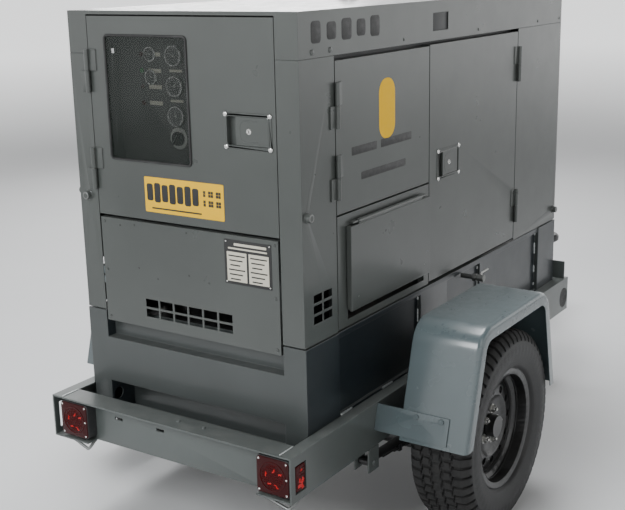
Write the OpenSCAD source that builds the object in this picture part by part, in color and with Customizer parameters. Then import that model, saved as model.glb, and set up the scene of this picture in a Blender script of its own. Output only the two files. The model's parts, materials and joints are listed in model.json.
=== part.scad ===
// Towable diesel generator: a sound-proofed generating set on a single-axle trailer.
// X runs forward to the hitch, Y to the left, Z up. The origin is on the ground, at the
// middle of the whole object's length and width. Millimetres throughout.

/* [Enclosure] */
// Length of the enclosure, rear face to front face
enclosure_l = 1954; // [1800:1:2400]
// Width of the enclosure over its side faces
enclosure_w = 880; // [800:1:1100]
// Height of the enclosure, from its bottom edge to the roof
enclosure_h = 974; // [900:1:1200]
// Height of the enclosure's bottom edge above the ground
deck_z = 776; // [740:1:940]
// Height of the roof's side band
band_h = 132; // [80:1:180]
// Width of the corner posts on the rear and front faces
post_w = 80; // [50:1:110]
// Length of the rear corner posts along the sides
rear_post_l = 183; // [120:1:200]
// Length of the front corner panels along the sides
front_post_l = 443; // [300:1:480]
// Thickness of the sheet metal
sheet = 3; // [2:0.5:4]
// Depth of the folded edges of every door and panel
pan_d = 28; // [20:1:34]
// Gap round every door
door_gap = 4; // [3:0.5:6]
// Width of the rear side doors and of the terminal panel
rear_side_door_w = 588; // [450:1:640]
// Height of the terminal panel under the rear side door
terminal_h = 358; // [300:1:420]
// Height of the panel under the rear door
rear_panel_h = 354; // [300:1:420]
// How far the panel under the rear door hangs below the enclosure
rear_panel_drop = 36; // [0:1:60]

/* [Window and controls] */
// Width of the window in the rear door
window_w = 326; // [250:1:400]
// Height of the window in the rear door
window_h = 385; // [250:1:420]
// Corner radius of the window
window_r = 12; // [10:1:40]
// Width of the rubber gasket round the window
gasket_w = 8; // [6:1:14]
// Distance of the window from the rear door's hinged edge
window_edge = 72; // [50:1:100]
// Distance of the window from the rear door's top edge
window_top = 58; // [40:1:90]
// Radius of the gauges
gauge_r = 32; // [24:1:36]
// Radius of the selector switch's shaft
switch_shaft_r = 5; // [3:0.5:7]
// Radius of the stop button's stem
stop_stem_r = 6; // [4:0.5:8]
// Travel of the stop button
stop_travel = 6; // [4:0.5:8]

/* [Hinges and latches] */
// Length of one door hinge, both knuckles
hinge_l = 135; // [100:1:150]
// Outer radius of the hinge knuckles
knuckle_r = 8; // [7:0.5:9]
// Radius of the hinge pins
pin_r = 4; // [3:0.5:5]
// Radial clearance of every running fit
fit_gap = 0.05; // [0.02:0.01:0.1]
// Length of the latch plates
latch_l = 172; // [150:1:190]
// Height of the latch plates
latch_h = 108; // [95:1:120]
// Depth of the tray behind a latch plate
tray_d = 20; // [15:1:24]
// Length of the latch paddle
paddle_l = 113; // [100:1:120]
// Thickness of the latch paddle
paddle_t = 5; // [4:0.5:6]
// Width of the terminal flap
flap_w = 515; // [400:1:530]
// Height of the terminal flap
flap_h = 265; // [200:1:280]

/* [Trailer] */
// Height of the side rails
rail_h = 146; // [120:1:160]
// Width of the side rails' flanges
rail_flange = 44; // [36:1:46]
// Thickness of the side rails' and beams' walls
rail_t = 6; // [5:0.5:8]
// Height of the side rails' top above the ground
rail_top = 498; // [480:1:560]
// Distance from an enclosure side face to the rail's outer face
rail_out = 46; // [46:1:80]
// Distance the rails run past the enclosure's rear face
rear_overhang = 156; // [130:1:220]
// Distance the rails run past the enclosure's front face
front_overhang = 76; // [76:1:160]
// Depth of the beams across the rear and front of the frame
beam_d = 83; // [60:1:90]
// Height of the plate that stands on the front beam
headboard_h = 78; // [40:1:120]
// Distance from the rails' front ends to the tip of the hitch eye
tongue_l = 1020; // [900:1:1300]
// Height of the drawbar tubes
drawbar_h = 90; // [70:1:110]
// Width of the drawbar tubes
drawbar_w = 56; // [45:1:70]
// Radius of the hitch eye's bore
eye_r = 38; // [34:0.5:42]
// Outer radius of the hitch eye
eye_outer_r = 70; // [66:1:76]
// Thickness of the hitch eye
eye_t = 41; // [34:1:46]

/* [Wheels and axle] */
// Outer radius of the tyres
tyre_r = 341; // [330:1:348]
// Width of the tyres
tyre_w = 222; // [195:1:225]
// Distance from the wheel's middle plane to its mounting face
disc_y = 22; // [10:1:30]
// Radius of the bead seats, half the rim's nominal diameter
bead_r = 190.5; // [178:0.5:203]
// Width of the rim between its flanges
rim_w = 165; // [140:1:170]
// Distance from the enclosure's rear face to the axle line
axle_x = 690; // [650:1:800]
// Distance from a rail's outer face to the middle of the tyre
wheel_out = 208; // [204:1:230]
// Radius of the axle tube
axle_r = 32; // [25:1:38]
// Distance the axle tube sits below the wheel centres
axle_drop = 119; // [100:1:130]
// Radius of the wheel spindles
spindle_r = 20; // [16:0.5:24]
// Radius of the circle that the wheel studs stand on
stud_circle_r = 57.15; // [50:0.05:70]
// Radius of the wheel studs
stud_r = 6; // [5:0.5:7]
// Distance between the leaf springs' eyes
spring_l = 760; // [600:1:800]
// Width of the leaf springs
spring_w = 45; // [40:1:50]
// Thickness of the leaf spring pack at its middle
spring_t = 28; // [20:1:36]

/* [Fenders] */
// Room between the tyre and the fenders' flat top
fender_room = 89; // [60:1:110]
// Height of the fenders, from the flat top down to their feet
fender_h = 375; // [340:1:390]
// Distance from the axle line back to the fender's rear end, at its foot
fender_back = 372; // [360:1:420]
// Length of the fender at its feet
fender_l = 729; // [725:1:900]
// Lean of the fender's rear face, at the top
fender_rear_lean = 107; // [80:1:140]
// Lean of the fender's front face, at the top
fender_front_lean = 87; // [60:1:120]
// Corner radius of the fender
fender_r = 90; // [60:1:120]
// Width of the fender
fender_w = 240; // [230:1:300]
// Height of the fender's turned-down outer lip
lip_h = 45; // [25:1:60]

/* [Lamps] */
// Size of the square tail lamps
lamp_size = 120; // [90:1:124]
// Depth of the tail lamps
lamp_d = 45; // [30:1:60]
// Radius of the round lens inside each tail lamp
lens_r = 46; // [35:1:50]

/* [Jack] */
// Radius of the jack's sliding leg
leg_r = 24; // [20:1:28]
// Wall of the jack's outer tube
jack_wall = 5; // [4:0.5:7]
// Length of the jack's outer tube
jack_tube_l = 440; // [400:1:520]
// Distance from the hitch eye's tip back to the jack
jack_back = 420; // [360:1:460]
// Radius of the jack's foot plate
foot_r = 80; // [60:1:100]
// Length of the crank's arm
crank_l = 150; // [120:1:180]

/* [Engine and alternator] */
// Length of the engine block
engine_l = 560; // [480:1:600]
// Width of the engine block
engine_w = 300; // [250:1:340]
// Height of the engine block over its sump
engine_h = 520; // [440:1:560]
// Outer radius of the alternator
alternator_r = 190; // [150:1:210]
// Length of the alternator
alternator_l = 430; // [360:1:450]
// Radius of the cooling fan
fan_r = 200; // [150:1:220]
// Distance from the enclosure's rear face to the drain valve
drain_x = 1048; // [960:1:1190]
// Radius of the crankshaft
crank_shaft_r = 22; // [18:1:26]

/* [Hidden] */
$fn = 48;

paint = [0.36, 0.37, 0.36];
frame_paint = [0.34, 0.36, 0.36];
steel = [0.72, 0.72, 0.7];
black = [0.06, 0.06, 0.065];
rubber = [0.05, 0.05, 0.05];
red = [0.6, 0.05, 0.04];

// Whole length, and the enclosure's rear face in the object's own frame
total_l = rear_overhang + enclosure_l + front_overhang + tongue_l;
rear_face_x = rear_overhang - total_l / 2;
half_w = enclosure_w / 2;
roof_z = deck_z + enclosure_h;
band_z = roof_z - band_h;
rail_bottom = rail_top - rail_h;
rail_y = half_w + rail_out;
frame_front = enclosure_l + front_overhang;
flange_y = rail_y - rail_flange;
base_half_w = half_w - 2;
base_floor = rail_bottom + 46;
// Walls of the base: plate behind the shallow side panels and the deep end recesses
base_t = 6;
base_recess = 12;
base_end_recess = 38;
base_low_recess = 108;
base_step_z = deck_z - 254;
hand_hole_x = 32;
base_side = base_recess + base_t;
base_end = base_end_recess + base_t;
wheel_y = rail_y + wheel_out;
post_top = band_z;

// Doors: edges along the length and up the height
side_hinge_x = rear_post_l + door_gap / 2;
rear_side_x0 = rear_post_l + door_gap;
rear_side_x1 = rear_side_x0 + rear_side_door_w;
front_side_x0 = rear_side_x1 + door_gap;
front_side_x1 = enclosure_l - front_post_l - door_gap;
terminal_z0 = deck_z + door_gap;
terminal_z1 = terminal_z0 + terminal_h;
side_door_z0 = terminal_z1 + 5;
side_door_z1 = band_z - 15;
front_door_z0 = deck_z + 10;
front_door_z1 = band_z - 11;
rear_edge_y = half_w - post_w;
rear_door_z0 = deck_z - rear_panel_drop + rear_panel_h + 10;
rear_door_z1 = roof_z - 16;
rear_door_y0 = -rear_edge_y + 2;
rear_door_y1 = rear_edge_y - door_gap / 2;
hinge_proud = knuckle_r + 1;

// Window, panel and latch places on the rear face
window_y1 = rear_door_y1 - window_edge;
window_y0 = window_y1 - window_w;
window_z1 = rear_door_z1 - window_top;
window_z0 = window_z1 - window_h;
rear_latch_y = rear_door_y0 + 100;
rear_latch_z = deck_z + 634;
side_latch_x = front_side_x0 + 141;
side_latch_z = deck_z + 415;
control_x = 60;
tray_l = latch_l - 14;
tray_h = latch_h - 14;
flap_x = rear_side_x0 + (rear_side_door_w - flap_w) / 2 + 10;
flap_top = terminal_z1 - 37;
flap_proud = 20;
flap_pin_z = flap_top + 8;
flap_pin_y = half_w + 12;

// Running gear
wheel_z = tyre_r;
fender_top = 2 * tyre_r + fender_room;
fender_bottom = fender_top - fender_h;
fender_rear_x = axle_x - fender_back;
fender_front_x = fender_rear_x + fender_l;
axle_z = wheel_z - axle_drop;
bracket_gap = 0.01;
arm_y = rail_y + 19;
arm_w = 40;
spring_seat_z = axle_z + axle_r + 5;
spring_eye_z = spring_seat_z + spring_t + 12;
spring_y = rail_y - 26;
lamp_right_y = lamp_size / 2 + 2 + rail_t - rail_y;
lamp_left_y = rail_y - rail_t - 27 - lamp_size / 2;
lamp_z = rail_bottom + rail_h / 2;
loop_r = 5;
loop_drop = 34;

// Drawbar and jack
eye_x = frame_front + tongue_l - eye_outer_r;
drawbar_z = rail_bottom + 20;
drawbar_front = eye_x - 190;
drawbar_front_y = 32;
drawbar_rear_y = half_w - 60;
jack_x = frame_front + tongue_l - jack_back;
jack_tube_z = drawbar_z + drawbar_h - 160;
jack_head_z = jack_tube_z + jack_tube_l;
jack_plate_t = 10;

// Power unit
shaft_z = deck_z + 330;
tank_front = 560;
chamber_r = 80;
cylinder_r = 46;
block_w = 180;
head_z = shaft_z + engine_h - 230;
alternator_x = 330;
engine_x = alternator_x + alternator_l + 60;
fan_x = engine_x + engine_l + 30;
radiator_x = fan_x + 60;

module from_rear() {
    translate([rear_face_x, 0, 0]) children();
}

module left_side() {
    mirror([0, 1, 0]) children();
}

// A box between two opposite corners
module span(a, b) {
    translate(a) cube(b - a);
}

// A round bar between two points
module bar(a, b, r) {
    d = b - a;
    translate(a) rotate([0, acos(d[2] / norm(d)), atan2(d[1], d[0])]) cylinder(r = r, h = norm(d));
}

module y_rod(r, l) {
    rotate([-90, 0, 0]) cylinder(r = r, h = l);
}

module x_rod(r, l) {
    rotate([0, 90, 0]) cylinder(r = r, h = l);
}

module rounded(w, h, r) {
    hull() for (x = [r, w - r], y = [r, h - r]) translate([x, y]) circle(r = r, $fn = 32);
}

// A sheet pan: a face in the plane z = 0 with its folded edges going down
module pan(w, h, d = pan_d) {
    difference() {
        translate([0, 0, -d]) cube([w, h, d]);
        translate([sheet, sheet, -d - 1]) cube([w - 2 * sheet, h - 2 * sheet, d + 1 - sheet]);
    }
}

// Turns a face drawn in the XY plane so that it stands on the rear face, looking rearward.
// Local X runs to the right-hand side of someone who looks at it.
module on_rear(y, z) {
    translate([0, y, z]) rotate([90, 0, -90]) children();
}

// The same on the right side face, where local X runs forward
module on_right(x, z) {
    translate([x, -half_w, z]) rotate([90, 0, 0]) children();
}

// Door hinge: a fixed lower knuckle with its pin, and a lifting-off upper knuckle.
// The axis is local Z, the door lies towards local +X and the outside is local -Y.
module hinge_fixed() {
    half = hinge_l / 2;
    cylinder(r = knuckle_r, h = half - 0.5);
    cylinder(r = pin_r, h = hinge_l - 6);
    translate([-32, knuckle_r - 4, 0]) cube([32, hinge_proud - knuckle_r + 4, half - 0.5]);
}

module hinge_moving() {
    half = hinge_l / 2;
    difference() {
        union() {
            translate([0, 0, half]) cylinder(r = knuckle_r, h = half);
            translate([0, knuckle_r - 3, half]) cube([34, hinge_proud - knuckle_r + 3, half]);
        }
        translate([0, 0, half - 1]) cylinder(r = pin_r + fit_gap, h = half - 4);
    }
}

// Latch: a tray let into the door behind a plate, and a paddle that turns on a pin.
// Drawn in the XY plane with the outside towards +Z, centred; the pin is at the -X end.
module latch_plate() {
    pin_x = -tray_l / 2 + 9;
    difference() {
        union() {
            translate([-latch_l / 2, -latch_h / 2, 0]) linear_extrude(2) rounded(latch_l, latch_h, 9);
            translate([-tray_l / 2, -tray_h / 2, -tray_d]) cube([tray_l, tray_h, tray_d + 1]);
        }
        translate([-tray_l / 2 + 3, -tray_h / 2 + 3, -tray_d + 2]) cube([tray_l - 6, tray_h - 6, tray_d + 2]);
    }
    translate([pin_x, -tray_h / 2 + 1, -4]) y_rod(2.5, tray_h - 2);
    for (x = [-1, 1], y = [-1, 1])
        translate([x * (latch_l / 2 - 5), y * (latch_h / 2 - 5), 2]) cylinder(r = 3.4, h = 1.6);
}

module latch_paddle() {
    pin_x = -tray_l / 2 + 9;
    paddle_h = tray_h - 10;
    difference() {
        union() {
            translate([pin_x, -paddle_h / 2, -4]) y_rod(5, paddle_h);
            translate([pin_x, -paddle_h / 2, -4]) cube([paddle_l, paddle_h, paddle_t]);
            translate([pin_x + paddle_l - 4, -paddle_h / 2, -9]) cube([4, paddle_h, 6]);
        }
        translate([pin_x, -tray_h / 2, -4]) y_rod(2.5 + fit_gap, tray_h);
    }
}

module latch_hole() {
    translate([-tray_l / 2 - 0.5, -tray_h / 2 - 0.5, -pan_d]) cube([tray_l + 1, tray_h + 1, pan_d + 1]);
}

// ---- trailer frame ----

module rail() {
    difference() {
        span([-rear_overhang, -rail_y, rail_bottom], [frame_front, -flange_y, rail_top]);
        span([-rear_overhang - 1, -rail_y + rail_t, rail_bottom + rail_t],
            [frame_front + 1, -flange_y + 1, rail_top - rail_t]);
        // Window for the side marker and the round hole at the front end
        span([23 - rear_overhang, -rail_y - 1, rail_bottom + 23],
            [79 - rear_overhang, -rail_y + rail_t + 1, rail_bottom + 113]);
        translate([frame_front - 50, -rail_y - 1, rail_bottom + 63]) y_rod(44, rail_t + 2);
    }
}

module rail_right() {
    color(frame_paint) from_rear() rail();
}

module rail_left() {
    color(frame_paint) from_rear() left_side() rail();
}

module rear_beam() {
    web_x = lamp_d - rear_overhang;
    beam_slots_y = [230, 52];
    beam_studs_y = [-28, -129];
    color(frame_paint) from_rear() {
        difference() {
            span([-rear_overhang, -flange_y, rail_bottom], [beam_d - rear_overhang, flange_y, rail_top]);
            // Open in front of the web, and behind it between the flanges
            span([web_x + rail_t, -flange_y - 1, rail_bottom + rail_t],
                [beam_d - rear_overhang + 1, flange_y + 1, rail_top - rail_t]);
            span([-rear_overhang - 1, -flange_y - 1, rail_bottom + rail_t], [web_x, flange_y + 1, rail_top - rail_t]);
            // The lower flange runs on rearward under the lamps only
            span([-rear_overhang - 1, lamp_right_y + lamp_size / 2, rail_bottom - 1],
                [web_x, lamp_left_y - lamp_size / 2, rail_bottom + rail_t + 1]);
            for (y = beam_slots_y) span([web_x - 1, y - 16, rail_bottom + 92], [web_x + rail_t + 1, y + 16, rail_bottom + 101]);
        }
        for (y = beam_studs_y) translate([web_x, y, rail_top]) cylinder(r = 6, h = 5);
    }
}

module front_beam() {
    color(frame_paint) from_rear() {
        difference() {
            span([frame_front - 60, -flange_y, rail_bottom], [frame_front, flange_y, rail_top]);
            span([frame_front - 61, -flange_y - 1, rail_bottom + rail_t],
                [frame_front - rail_t, flange_y + 1, rail_top - rail_t]);
        }
        span([frame_front - 36, -rail_y + 6, rail_top], [frame_front - 30, rail_y - 6, rail_top + headboard_h]);
    }
}

module cross_members() {
    color(frame_paint) from_rear()
        for (x = [60, 560, 900, 1300, 1760]) difference() {
            span([x, -rail_y + rail_t, rail_bottom + rail_t], [x + 60, rail_y - rail_t, base_floor]);
            span([x + rail_t, -rail_y, rail_bottom + rail_t - 1], [x + 61, rail_y, base_floor - rail_t]);
        }
}

// One drawbar tube: a leaning box tube from the front beam to the hitch channel
module drawbar() {
    run = [drawbar_front - frame_front, drawbar_front_y - drawbar_rear_y];
    across = drawbar_w / 2 * norm(run) / run[0];
    module tube(half, low, high, over) translate([0, 0, low]) linear_extrude(high - low)
        polygon([[frame_front - over, drawbar_rear_y - half], [frame_front - over, drawbar_rear_y + half],
            [drawbar_front + over, drawbar_front_y + half], [drawbar_front + over, drawbar_front_y - half]]);
    difference() {
        tube(across, drawbar_z, drawbar_z + drawbar_h, 0);
        tube(across - 6, drawbar_z + 5, drawbar_z + drawbar_h - 5, 0.01);
    }
}

module drawbars() {
    color(frame_paint) from_rear() {
        drawbar();
        left_side() drawbar();
        // Closing plate that the hitch channel bolts to, and the jack's carrier plate
        span([drawbar_front, -64, drawbar_z - 30], [drawbar_front + 12, 64, drawbar_z + drawbar_h + 30]);
        difference() {
            span([jack_x - 75, -115, drawbar_z + drawbar_h], [jack_x + 75, 115, drawbar_z + drawbar_h + jack_plate_t]);
            translate([jack_x, 0, drawbar_z + drawbar_h - 1]) cylinder(r = leg_r + jack_wall, h = jack_plate_t + 2);
        }
    }
}

module hitch_eye() {
    plate_x = drawbar_front + 12;
    mid_z = drawbar_z + drawbar_h / 2;
    color(black) from_rear() difference() {
        union() {
            translate([eye_x, 0, mid_z - eye_t / 2]) rotate_extrude() polygon([[eye_r, 8], [eye_r + 10, 0],
                [eye_outer_r - 10, 0], [eye_outer_r, 10], [eye_outer_r, eye_t - 10],
                [eye_outer_r - 10, eye_t], [eye_r + 10, eye_t], [eye_r, eye_t - 8]]);
            difference() {
                span([plate_x + 20, -26, mid_z - eye_t / 2 + 2], [eye_x, 26, mid_z + eye_t / 2 - 2]);
                translate([eye_x, 0, 0]) cylinder(r = eye_r + 12, h = roof_z);
            }
            difference() {
                span([plate_x, -50, mid_z - 70], [plate_x + 60, 50, mid_z + 70]);
                span([plate_x + 12, -38, mid_z - 71], [plate_x + 61, 38, mid_z + 71]);
            }
            span([plate_x + 11, -39, mid_z - 40], [plate_x + 40, 39, mid_z + 40]);
            for (z = [-56, 56]) translate([plate_x + 12, 0, mid_z + z]) x_rod(12, 14);
        }
    }
}

// A bent bar under the frame, from its start by way of a knee to its end further forward
module tie_loop(start, knee, end) {
    x = 18 - rear_overhang;
    bottom = [x + 8, knee, rail_bottom - loop_drop];
    bar([x, start, rail_bottom], bottom, loop_r);
    bar(bottom, [x + 44, end, rail_bottom], loop_r);
    translate(bottom) sphere(r = loop_r + 1);
}

module tie_loops() {
    color(steel) from_rear() {
        tie_loop(half_w - 10, half_w - 80, half_w - 92);
        tie_loop(88 - half_w, -half_w - 18, -half_w - 38);
    }
}

// ---- fenders and running gear ----

module fender_outline(inset) {
    below = fender_bottom / 2;
    function end_x(foot, lean, z) = foot + lean * (z - fender_bottom) / fender_h;
    base = [[end_x(fender_rear_x, fender_rear_lean, below), below], [fender_rear_x + fender_rear_lean, fender_top],
        [fender_front_x - fender_front_lean, fender_top], [end_x(fender_front_x, -fender_front_lean, below), below]];
    intersection() {
        offset(delta = -inset) offset(r = fender_r, $fn = 40) offset(delta = -fender_r) polygon(base);
        translate([0, fender_bottom]) square([2 * enclosure_l, roof_z]);
    }
}

module fender() {
    outer_y = wheel_y + fender_w / 2 + 2;
    // Top sheet: a band that follows the outline
    translate([0, -outer_y + fender_w, 0]) rotate([90, 0, 0]) linear_extrude(fender_w) difference() {
        fender_outline(0);
        fender_outline(sheet);
    }
    // Outer lip
    translate([0, -outer_y + sheet, 0]) rotate([90, 0, 0]) linear_extrude(sheet) difference() {
        fender_outline(0);
        fender_outline(lip_h);
    }
    // Narrow inner lip
    translate([0, -outer_y + fender_w, 0]) rotate([90, 0, 0]) linear_extrude(sheet) difference() {
        fender_outline(0);
        fender_outline(15);
    }
}

module fender_right() {
    color([0.5, 0.53, 0.54]) from_rear() fender();
}

module fender_left() {
    color([0.5, 0.53, 0.54]) from_rear() left_side() fender();
}

// A plate from the rail's web, against the outside of the fender's leaning end face
module fender_bracket(foot_x, lean, dir) {
    low = fender_bottom + 14;
    high = min(low + 84, rail_top - 4);
    function face(z) = foot_x + dir * bracket_gap + lean * (z - fender_bottom) / fender_h;
    translate([0, -rail_y, 0]) rotate([90, 0, 0]) linear_extrude(wheel_y + 51 - rail_y)
        polygon([[face(low), low], [face(high), high], [face(high) + dir * 6, high], [face(low) + dir * 6, low]]);
    for (y = [wheel_y - 64, wheel_y + 25]) translate([face(high - 12) + (dir > 0 ? 5 : -13), -y, high - 12]) x_rod(9, 8);
}

module fender_brackets() {
    color(steel) from_rear() for (s = [0, 1]) mirror([0, s, 0]) {
        fender_bracket(fender_rear_x, fender_rear_lean, -1);
        fender_bracket(fender_front_x, -fender_front_lean, 1);
    }
}

// Spring hangers: side cheeks under the rail, with a pin through each eye
module spring_hangers() {
    color(frame_paint) from_rear() for (s = [0, 1], x = [axle_x - spring_l / 2, axle_x + spring_l / 2])
        mirror([0, s, 0]) {
            for (y = [spring_y - spring_w / 2 - 7, spring_y + spring_w / 2 + 1])
                span([x - 32, -y - 6, spring_eye_z - 28], [x + 32, -y, rail_bottom]);
            translate([x, -spring_y - spring_w / 2 - 12, spring_eye_z]) y_rod(8, spring_w + 24);
        }
}

module leaf_spring() {
    low = spring_seat_z;
    half = spring_l / 2;
    translate([axle_x, -spring_y + spring_w / 2, 0]) rotate([90, 0, 0]) linear_extrude(spring_w)
        polygon([[-half, spring_eye_z - 4], [-half * 0.72, low + 16], [-half * 0.38, low + 4], [-60, low], [60, low],
            [half * 0.38, low + 4], [half * 0.72, low + 16], [half, spring_eye_z - 4], [half, spring_eye_z + 4],
            [half * 0.5, low + spring_t], [0, low + spring_t - 2], [-half * 0.5, low + spring_t], [-half, spring_eye_z + 4]]);
}

module leaf_springs() {
    color(black) from_rear() for (s = [0, 1]) mirror([0, s, 0]) difference() {
        union() {
            leaf_spring();
            for (x = [axle_x - spring_l / 2, axle_x + spring_l / 2])
                translate([x, -spring_y - spring_w / 2, spring_eye_z]) y_rod(17, spring_w);
        }
        for (x = [axle_x - spring_l / 2, axle_x + spring_l / 2])
            translate([x, -spring_y - spring_w / 2 - 1, spring_eye_z]) y_rod(8 + fit_gap, spring_w + 2);
    }
}

module axle_beam() {
    color(black) from_rear() {
        translate([axle_x, -arm_y, axle_z]) y_rod(axle_r, 2 * arm_y);
        for (s = [0, 1]) mirror([0, s, 0]) {
            span([axle_x - 30, -arm_y - arm_w, axle_z - axle_r], [axle_x + 30, -arm_y, wheel_z + 32]);
            translate([axle_x, -wheel_y - 8, wheel_z]) y_rod(spindle_r, wheel_y + 8 - arm_y - arm_w);
            // Spring seat and its clamp plate
            span([axle_x - 60, -spring_y - spring_w / 2, axle_z + axle_r - 6],
                [axle_x + 60, -spring_y + spring_w / 2, spring_seat_z]);
            span([axle_x - 60, -spring_y - spring_w / 2 - 14, spring_seat_z + spring_t],
                [axle_x + 60, -spring_y + spring_w / 2 + 14, spring_seat_z + spring_t + 8]);
            for (x = [-48, 48], y = [-1, 1])
                translate([axle_x + x, -spring_y + y * (spring_w / 2 + 7), axle_z + axle_r - 30])
                    cylinder(r = 6, h = spring_t + 50);
            for (x = [-48, 48]) span([axle_x + x - 6, -spring_y - spring_w / 2 - 13, axle_z - 10],
                [axle_x + x + 6, -spring_y + spring_w / 2 + 13, axle_z + axle_r - 24]);
        }
    }
}

// Hub with its five studs and nuts; the wheel face looks towards -Y
module hub() {
    translate([axle_x, 0, wheel_z]) {
        difference() {
            union() {
                translate([0, -wheel_y - disc_y, 0]) y_rod(75, 12);
                translate([0, -wheel_y - disc_y + 12, 0]) y_rod(110, 50);
                translate([0, -wheel_y - disc_y - 38, 0]) y_rod(38, 40);
                translate([0, -wheel_y - disc_y + 60, 0]) y_rod(45, 30);
            }
            translate([0, -wheel_y - 12, 0]) y_rod(spindle_r + fit_gap, 200);
        }
        for (i = [0:4]) rotate([0, i * 72, 0]) translate([stud_circle_r, 0, 0]) {
            translate([0, -wheel_y - disc_y - 26, 0]) y_rod(stud_r, 28);
            translate([0, -wheel_y - disc_y - 22, 0]) rotate([-90, 0, 0]) cylinder(r = 11, h = 16, $fn = 6);
        }
    }
}

module hub_right() {
    color(black) from_rear() hub();
}

module hub_left() {
    color(black) from_rear() left_side() hub();
}

// Pressed steel rim: a dished disc with round vents, and a barrel with flanges
module rim_disc() {
    difference() {
        translate([axle_x, -wheel_y - disc_y, wheel_z]) rotate([90, 0, 0]) union() {
            cylinder(r = 90, h = 6);
            rotate_extrude($fn = 96) polygon([[88, 0], [108, 14], [142, 10], [bead_r - 22, -6], [bead_r - 22, 0],
                [143, 16], [107, 20], [88, 6]]);
        }
        translate([axle_x, -wheel_y - disc_y - 10, wheel_z]) y_rod(42, 20);
        translate([axle_x, -wheel_y - disc_y - 30, wheel_z]) for (i = [0:4]) rotate([0, i * 72, 0])
            translate([stud_circle_r, 0, 0]) y_rod(stud_r + 0.5, 40);
        translate([axle_x, -wheel_y - disc_y - 40, wheel_z]) for (i = [0:11]) rotate([0, i * 30, 0])
            translate([126, 0, 0]) y_rod(13, 60);
    }
}

module rim_barrel() {
    translate([axle_x, -wheel_y, wheel_z]) rotate([90, 0, 0]) rotate_extrude($fn = 96)
        polygon([[bead_r + 14, -rim_w / 2 - 6], [bead_r + 18, -rim_w / 2 - 4], [bead_r + 16, -rim_w / 2],
            [bead_r, -rim_w / 2 + 2], [bead_r, -40], [bead_r - 16, -28], [bead_r - 16, 28], [bead_r, 40],
            [bead_r, rim_w / 2 - 2], [bead_r + 16, rim_w / 2], [bead_r + 18, rim_w / 2 + 4],
            [bead_r + 14, rim_w / 2 + 6], [bead_r - 5, rim_w / 2 + 2], [bead_r - 5, 44], [bead_r - 22, 31],
            [bead_r - 22, -31], [bead_r - 5, -44], [bead_r - 5, -rim_w / 2 - 2]]);
}

module rim_right() {
    color(black) from_rear() union() {
        rim_barrel();
        rim_disc();
    }
}

module rim_left() {
    color(black) from_rear() left_side() union() {
        rim_barrel();
        rim_disc();
    }
}

// Tyre section: bead, bulging sidewall, rounded shoulder and flat tread
module tyre() {
    half = tyre_w / 2;
    shoulder = 34;
    translate([axle_x, -wheel_y, wheel_z]) rotate([90, 0, 0]) rotate_extrude($fn = 96)
        polygon([[bead_r, -rim_w / 2 + 2], [bead_r + 16, -rim_w / 2], [bead_r + 40, -half + 8],
            [bead_r + 80, -half], [tyre_r - shoulder, -half + 4], [tyre_r - 12, -half + 14], [tyre_r - 3, -half + 30],
            [tyre_r, -half + 50], [tyre_r, half - 50], [tyre_r - 3, half - 30], [tyre_r - 12, half - 14],
            [tyre_r - shoulder, half - 4], [bead_r + 80, half], [bead_r + 40, half - 8], [bead_r + 16, rim_w / 2],
            [bead_r, rim_w / 2 - 2], [bead_r, rim_w / 2 - 14], [bead_r + 40, half - 20], [tyre_r - 40, half - 22],
            [tyre_r - 14, half - 50], [tyre_r - 14, 50 - half], [tyre_r - 40, 22 - half], [bead_r + 40, 20 - half],
            [bead_r, 14 - rim_w / 2]]);
}

module tyre_right() {
    color(rubber) from_rear() tyre();
}

module tyre_left() {
    color(rubber) from_rear() left_side() tyre();
}

// ---- lamps ----

module lamp_housing(y) {
    translate([-rear_overhang, y, lamp_z]) {
        difference() {
            span([0, -lamp_size / 2, -lamp_size / 2], [lamp_d, lamp_size / 2, lamp_size / 2]);
            translate([-1, 0, 0]) x_rod(lens_r, 9);
        }
    }
}

module lamp_housings() {
    color(black) from_rear() {
        lamp_housing(lamp_right_y);
        lamp_housing(lamp_left_y);
        span([25 - rear_overhang, -rail_y + rail_t, rail_bottom + 25], [77 - rear_overhang, -rail_y + rail_t + 3, rail_bottom + 111]);
    }
}

module lamp_lenses() {
    color(red) from_rear() {
        for (y = [lamp_right_y, lamp_left_y]) translate([-rear_overhang, y, lamp_z]) x_rod(lens_r, 8);
        span([27 - rear_overhang, -rail_y + 1, rail_bottom + 27], [75 - rear_overhang, -rail_y + rail_t, rail_bottom + 109]);
    }
}

// ---- jack ----

module jack_tube() {
    color(steel) from_rear() translate([jack_x, 0, 0]) {
        difference() {
            translate([0, 0, jack_tube_z]) cylinder(r = leg_r + jack_wall, h = jack_tube_l);
            translate([0, 0, jack_tube_z - 1]) cylinder(r = leg_r + fit_gap, h = jack_tube_l + 2);
        }
        // Head with the crank's bearing
        difference() {
            translate([0, 0, jack_head_z]) cylinder(r = leg_r + jack_wall + 6, h = 40);
            translate([0, 0, jack_head_z - 1]) cylinder(r = 9 + fit_gap, h = 42);
        }
        // Flange that bolts down on the carrier plate
        difference() {
            translate([0, 0, drawbar_z + drawbar_h + jack_plate_t]) cylinder(r = 62, h = 10);
            translate([0, 0, drawbar_z + drawbar_h]) cylinder(r = leg_r + jack_wall - 1, h = 40);
        }
    }
}

module jack_leg() {
    leg_top = jack_head_z - 262;
    color(steel) from_rear() translate([jack_x, 0, 0]) {
        difference() {
            translate([0, 0, 8]) cylinder(r = leg_r, h = leg_top - 8);
            translate([0, 0, 20]) cylinder(r = 13, h = leg_top);
        }
        cylinder(r1 = foot_r, r2 = foot_r - 3, h = 8);
    }
}

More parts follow.
